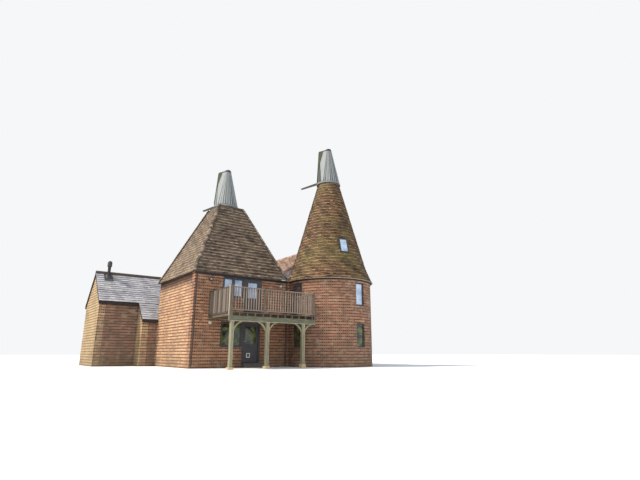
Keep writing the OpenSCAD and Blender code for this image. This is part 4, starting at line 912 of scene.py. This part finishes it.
# Pale arrises of the posts, the front left newel and the beam: wear, and painted highlight where the
# edges catch the light
arris = Piece(35)
beam_under = corners_of("balcony_beam")[0][2]
newel_foot = corners_of("balcony_newels")[0][2]
arris_back, arris_front = BALCONY_FRONT + 0.004, BALCONY_FRONT - 0.003
for (left, _, foot), (right, _, _) in solids_of("balcony_posts"):
    for edge in (left + 0.008, right - 0.008):
        arris.bar((edge - 0.009, arris_front, foot + 0.02), (edge + 0.009, arris_back, beam_under - 0.01))
arris.bar((BALCONY_LEFT - 0.002, BALCONY_FRONT + 0.064, newel_foot + 0.025),
          (BALCONY_LEFT + 0.004, BALCONY_FRONT + POST_W - 0.004, RAIL_TOP + 0.06))
arris.bar((BALCONY_LEFT, arris_front, beam_under - 0.01), (BALCONY_RIGHT, arris_back, beam_under + 0.015))
arris.finish("worn_and_highlit_oak_edges", oak_edge_wear_and_highlight, "oak_frame")

# Strap brackets under the gutter, each with a leg on the wall
GUTTER_FRONT_Y = corners_of("gutter")[0][1]
BRACKET_W, BRACKET_PITCH = 0.03, 0.7
brackets = Piece(37)
strap_top = EAVES_Z - 0.011
x = -HALF + 0.15
while x < HALF:
    brackets.bar((x, GUTTER_FRONT_Y - 0.002, EAVES_Z - 0.024), (x + BRACKET_W, -HALF - 0.02, strap_top))
    brackets.bar((x, -HALF - 0.026, EAVES_Z - 0.1), (x + BRACKET_W, -HALF - 0.02, strap_top))
    x += BRACKET_PITCH

# Black hoods of the lights on the upper storey: a whole ring with bars on the left, a brow on the right
LIGHT_R, HOOD_R, HOOD_OUT_R = 0.085, 0.086, 0.098
(light_left, _, _), (light_right, _, _) = corners_of("wall_lights")
light_z = EAVES_Z - 0.31
ring_light = Vector((light_left + LIGHT_R, 0, light_z))
brow_light = Vector((light_right - LIGHT_R, 0, light_z))
for light, low, high in ((ring_light, 0, 360), (brow_light, 20, 160)):
    for a, b in pairwise(spaced(radians(low), radians(high), 12)):
        ring = [(light.x + r * cos(t), y, light.z + r * sin(t)) for y in (-HALF - 0.082, -HALF)
                for t, r in ((a, HOOD_R), (b, HOOD_R), (b, HOOD_OUT_R), (a, HOOD_OUT_R))]
        brackets.quads(ring, [(0, 1, 2, 3), (3, 2, 6, 7), (0, 4, 5, 1)])
for low in (-0.05, -0.005, 0.04):
    brackets.bar((ring_light.x - 0.07, -HALF - 0.083, light_z + low),
                 (ring_light.x + 0.07, -HALF - 0.078, light_z + low + 0.016))
brackets.finish("gutter_brackets_and_light_hoods", rain_black, "rainwater")

# Wing's flue: a wider terminal with a rain cap at its head, and a lead slate with its skirt at its foot
(flue_left, _, _), (flue_right, _, flue_top) = corners_of("wing_flue")
FLUE = Vector(((flue_left + flue_right) / 2, WING_RIDGE_Y - 0.32, flue_top - 0.06))
FLUE_R = 0.085
TERMINAL = ((-0.32, 0.002), (-0.28, 0.045), (-0.04, 0.045), (0, 0.03))
SKIRT = ((0.002, 0.15), (0.03, 0.14), (0.07, 0.045))
flue_parts = Piece(51)
for a, b in pairwise(spaced(0, FULL_TURN, 16)):
    for (low, foot_r), (high, head_r) in pairwise(TERMINAL):
        flue_parts.quads([on_circle(FLUE, FLUE_R + r, t, FLUE.z + z) for t, r, z in
                          ((a, foot_r, low), (b, foot_r, low), (b, head_r, high), (a, head_r, high))],
                         [(0, 1, 2, 3)])
    skirt = [on_circle(FLUE, FLUE_R + r, t, lift) for t in (a, b) for r, lift in SKIRT]
    flue_parts.quads([(p.x, p.y, wing_top(p.y) + p.z) for p in skirt], [(0, 3, 4, 1), (1, 4, 5, 2)])
low_y, high_y = FLUE.y - 0.3, FLUE.y + 0.2
sheet = [(FLUE.x + x, y, wing_top(y) + lift) for lift in (0.032, 0.046)
         for x, y in ((-0.24, low_y), (0.24, low_y), (0.24, high_y), (-0.24, high_y))]
flue_parts.quads(sheet, BOX_FACES)
flue_parts.finish("flue_terminal_and_lead_slate", cap_metal, "flue_metal")

# Plate, spindle, lever and keyhole of the back door, each from its low to its high corner on the leaf's face
PLATE = ((0.045, -0.008, 0.88), (0.085, 0.0, 1.12))
SPINDLE = ((0.058, -0.045, 1.035), (0.072, -0.008, 1.049))
LEVER = ((0.055, -0.055, 1.03), (0.175, -0.043, 1.052))
KEYHOLE = ((0.058, -0.012, 0.93), (0.072, -0.008, 0.955))
furniture = Piece(39)
leaf_low, leaf_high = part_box("back_door")
leaf_face = Vector((leaf_low.x, leaf_high.y - 0.054, leaf_low.z))
for low, high in (PLATE, SPINDLE, LEVER, KEYHOLE):
    furniture.bar(leaf_face + Vector(low), leaf_face + Vector(high))
furniture.finish("door_lever", steel, "hinge_steel", "back_door_leaf")

# Pale mortar under the lowest tiles of the cone, and a dark board below it round the wall's head, whose
# dark colour is painted shade under the eaves
MORTAR_FOOT, BOARD_FOOT, BOARD_HEAD = EAVES_Z - 0.016, EAVES_Z - 0.075, EAVES_Z - 0.014
MORTAR = ((ROUND_EAVE_R - 0.03, MORTAR_FOOT), (ROUND_EAVE_R + 0.004, MORTAR_FOOT),
          (ROUND_EAVE_R + 0.008, EAVES_Z + 0.004))
EAVES_BOARD = ((ROUND_R, BOARD_FOOT), (ROUND_R + 0.03, BOARD_FOOT), (ROUND_EAVE_R - 0.012, BOARD_HEAD),
               (ROUND_R, BOARD_HEAD))
fillet = Piece(41)
eaves_board = Piece(49)
for a, b in pairwise(spaced(0, FULL_TURN, 120)):
    middle = on_circle(ROUND_C, ROUND_R + 0.05, a, 0)
    if middle.x <= HALF + 0.2 or middle.y <= -HALF - 0.05:
        ring = [on_circle(ROUND_C, r, t, z) for t in (a, b) for r, z in MORTAR]
        fillet.quads(ring, [(0, 3, 4, 1), (1, 4, 5, 2)])
    if middle.x <= HALF - 0.02 or middle.y <= -HALF + 0.02:
        ring = [on_circle(ROUND_C, r, t, z) for t in (a, b) for r, z in EAVES_BOARD]
        eaves_board.quads(ring, [(0, 1, 5, 4), (1, 2, 6, 5), (0, 4, 7, 3)])
fillet.finish("eaves_mortar_fillet", mortar_fillet, "cone_tiles")
eaves_board.finish("round_eaves_board", dark_stain_and_eaves_shade, "cone_tiles")

# Lead saddle dressed over the roof's corner at the foot of the valley, in strips that rise in steps, and its
# bright welted edge
SADDLE = ((-0.3, -0.2, 0.07), (-0.2, -0.1, 0.16), (-0.1, 0.0, 0.25), (0.0, 0.085, 0.3))
LEAD_T = Vector((0, 0.003, -0.004))
saddle = Piece(45)
run_in = run / rise
saddle_y = -ROOF_BASE - 0.034
for left, right, top in SADDLE:
    inward = top * run_in
    strip = [Vector((HALF + x - inset, saddle_y + inset, EAVES_Z + z)) for x, inset, z in
             ((left, 0, 0.012), (right, 0, 0.012), (right, inward, top), (left, inward, top))]
    saddle.quads(strip + [p + LEAD_T for p in strip],
                 [(0, 1, 2, 3), (7, 6, 5, 4), (0, 4, 5, 1), (1, 5, 6, 2), (2, 6, 7, 3), (3, 7, 4, 0)])
saddle.finish("lead_saddle", saddle_lead, "lead")
edge_roll = Piece(46)
edge_roll.bar((HALF - 0.27, saddle_y - 0.008, EAVES_Z - 0.004),
              (HALF - 0.04, saddle_y + 0.004, EAVES_Z + 0.034))
edge_roll.finish("saddle_welted_edge", bright_lead, "lead")

# Casements within the flat window frames, outside and inside the glass. The wide pane is the balcony door's.
PANE_T = 0.03
casements = Piece(47)


def casement(axis, low, high, wide):
    """Four rails on either face of a pane that runs along an axis."""
    across = 1 - axis
    proud, clear = 0.018, 0.0006
    faces = ((low[across] - proud, low[across] - clear), (high[across] + clear, high[across] + proud))
    (a0, a1), (z0, z1) = (low[axis], high[axis]), (low[2], high[2])
    rails = ((a0, a1, z0, z0 + wide), (a0, a1, z1 - wide, z1),
             (a0, a0 + wide, z0 + wide, z1 - wide), (a1 - wide, a1, z0 + wide, z1 - wide))
    for near, far in faces:
        for b0, b1, foot, head in rails:
            if axis == 0:
                casements.bar((b0, near, foot), (b1, far, head))
            else:
                casements.bar((near, b0, foot), (far, b1, head))


for low, high in solids_of("fixed_glass"):
    for axis in (0, 1):
        if high[1 - axis] - low[1 - axis] < PANE_T:
            casement(axis, low, high, 0.06 if high[axis] - low[axis] > 0.6 else 0.05)
casements.finish("casements", joinery, "joinery")

# A soldier course of bricks on end over each window of the round kiln
WINDOW_WAY, SIDE_WINDOW_WAY = radians(276.5), radians(185)
UPPER_HEAD = corners_of("small_window_frames")[1][2]
LOWER_HEAD = corners_of("back_door_frame")[1][2]
SOLDIERS, SOLDIER_W, SOLDIER_PROUD = 11, 0.064, 0.006
soldiers = Piece(43)
for way, head in ((WINDOW_WAY, UPPER_HEAD), (WINDOW_WAY, LOWER_HEAD), (SIDE_WINDOW_WAY, LOWER_HEAD)):
    foot, top = head + BRICK_JOINT, min(head + 0.215, EAVES_Z - COURSE)
    for k in range(SOLDIERS):
        middle = way + (k - (SOLDIERS - 1) / 2) * COURSE / ROUND_R
        a, b = middle - SOLDIER_W / 2 / ROUND_R, middle + SOLDIER_W / 2 / ROUND_R
        ring = [on_circle(ROUND_C, ROUND_R + r, t, z) for z in (foot, top)
                for t, r in ((a, 0), (b, 0), (b, SOLDIER_PROUD), (a, SOLDIER_PROUD))]
        soldiers.quads(ring, [(0, 1, 2, 3), (7, 6, 5, 4), (3, 2, 6, 7), (2, 1, 5, 6), (0, 3, 7, 4)])
soldiers.finish("round_window_soldier_courses", front_brick, "front_brick")

# Pale floor under the house, out to the horizon
FLOOR_HALF, FLOOR_Z = 150, -0.002
backdrop = new_material("pale floor")
add(backdrop, "OutputMaterial", Surface=add(backdrop, "BsdfDiffuse", Color=(0.78, 0.78, 0.77, 1)))
floor_mesh = bpy.data.meshes.new("floor")
floor_edge = [(x * FLOOR_HALF, y * FLOOR_HALF, FLOOR_Z) for x, y in ((-1, -1), (1, -1), (1, 1), (-1, 1))]
floor_mesh.from_pydata(floor_edge, [], [(0, 1, 2, 3)])
floor_mesh.materials.append(backdrop)
floor_sheet = new_object("floor", floor_mesh)

# Light of an open sky, behind a plain pale card that only the camera sees
world = bpy.data.worlds.new("pale room")
bpy.context.scene.world = world
world.use_nodes = True
world.node_tree.nodes.clear()
sky = add(world, "Background", Color=(0.80, 0.88, 1.0, 1), Strength=0.75)
card = add(world, "Background", Color=(0.92, 0.93, 0.94, 1), Strength=1.0)
both = add(world, "MixShader", add(world, "LightPath", give="Is Camera Ray"), sky, card)
add(world, "OutputWorld", Surface=both)


def lamp(name, towards, strength, angle, colour):
    """A soft distant lamp shining along a direction."""
    light = bpy.data.lights.new(name, "SUN")
    light.energy = strength
    light.angle = radians(angle)
    light.color = colour
    new_object(name, light).rotation_euler = Vector(towards).to_track_quat("-Z", "Y").to_euler()


lamp("key", (0.62, -0.27, -0.77), 4.4, 6, (1.0, 0.93, 0.82))
lamp("fill", (0.35, 0.9, -0.35), 0.9, 60, (0.95, 0.97, 1.0))

# Camera where the photograph's was, low and in front at the left, tilted up
CAMERA_PLACE, CAMERA_TILT, CAMERA_TURN = (-10.503, -23.092, 0.709), 14.548, -37.279
camera_data = bpy.data.cameras.new("camera")
camera_data.sensor_width = 36
camera_data.lens = 24.48
camera_data.clip_end = 500
camera = new_object("camera", camera_data)
camera.location = CAMERA_PLACE
camera.rotation_euler = (radians(90 + CAMERA_TILT), 0, radians(CAMERA_TURN))
bpy.context.scene.camera = camera
bpy.context.scene.view_settings.view_transform = "Standard"
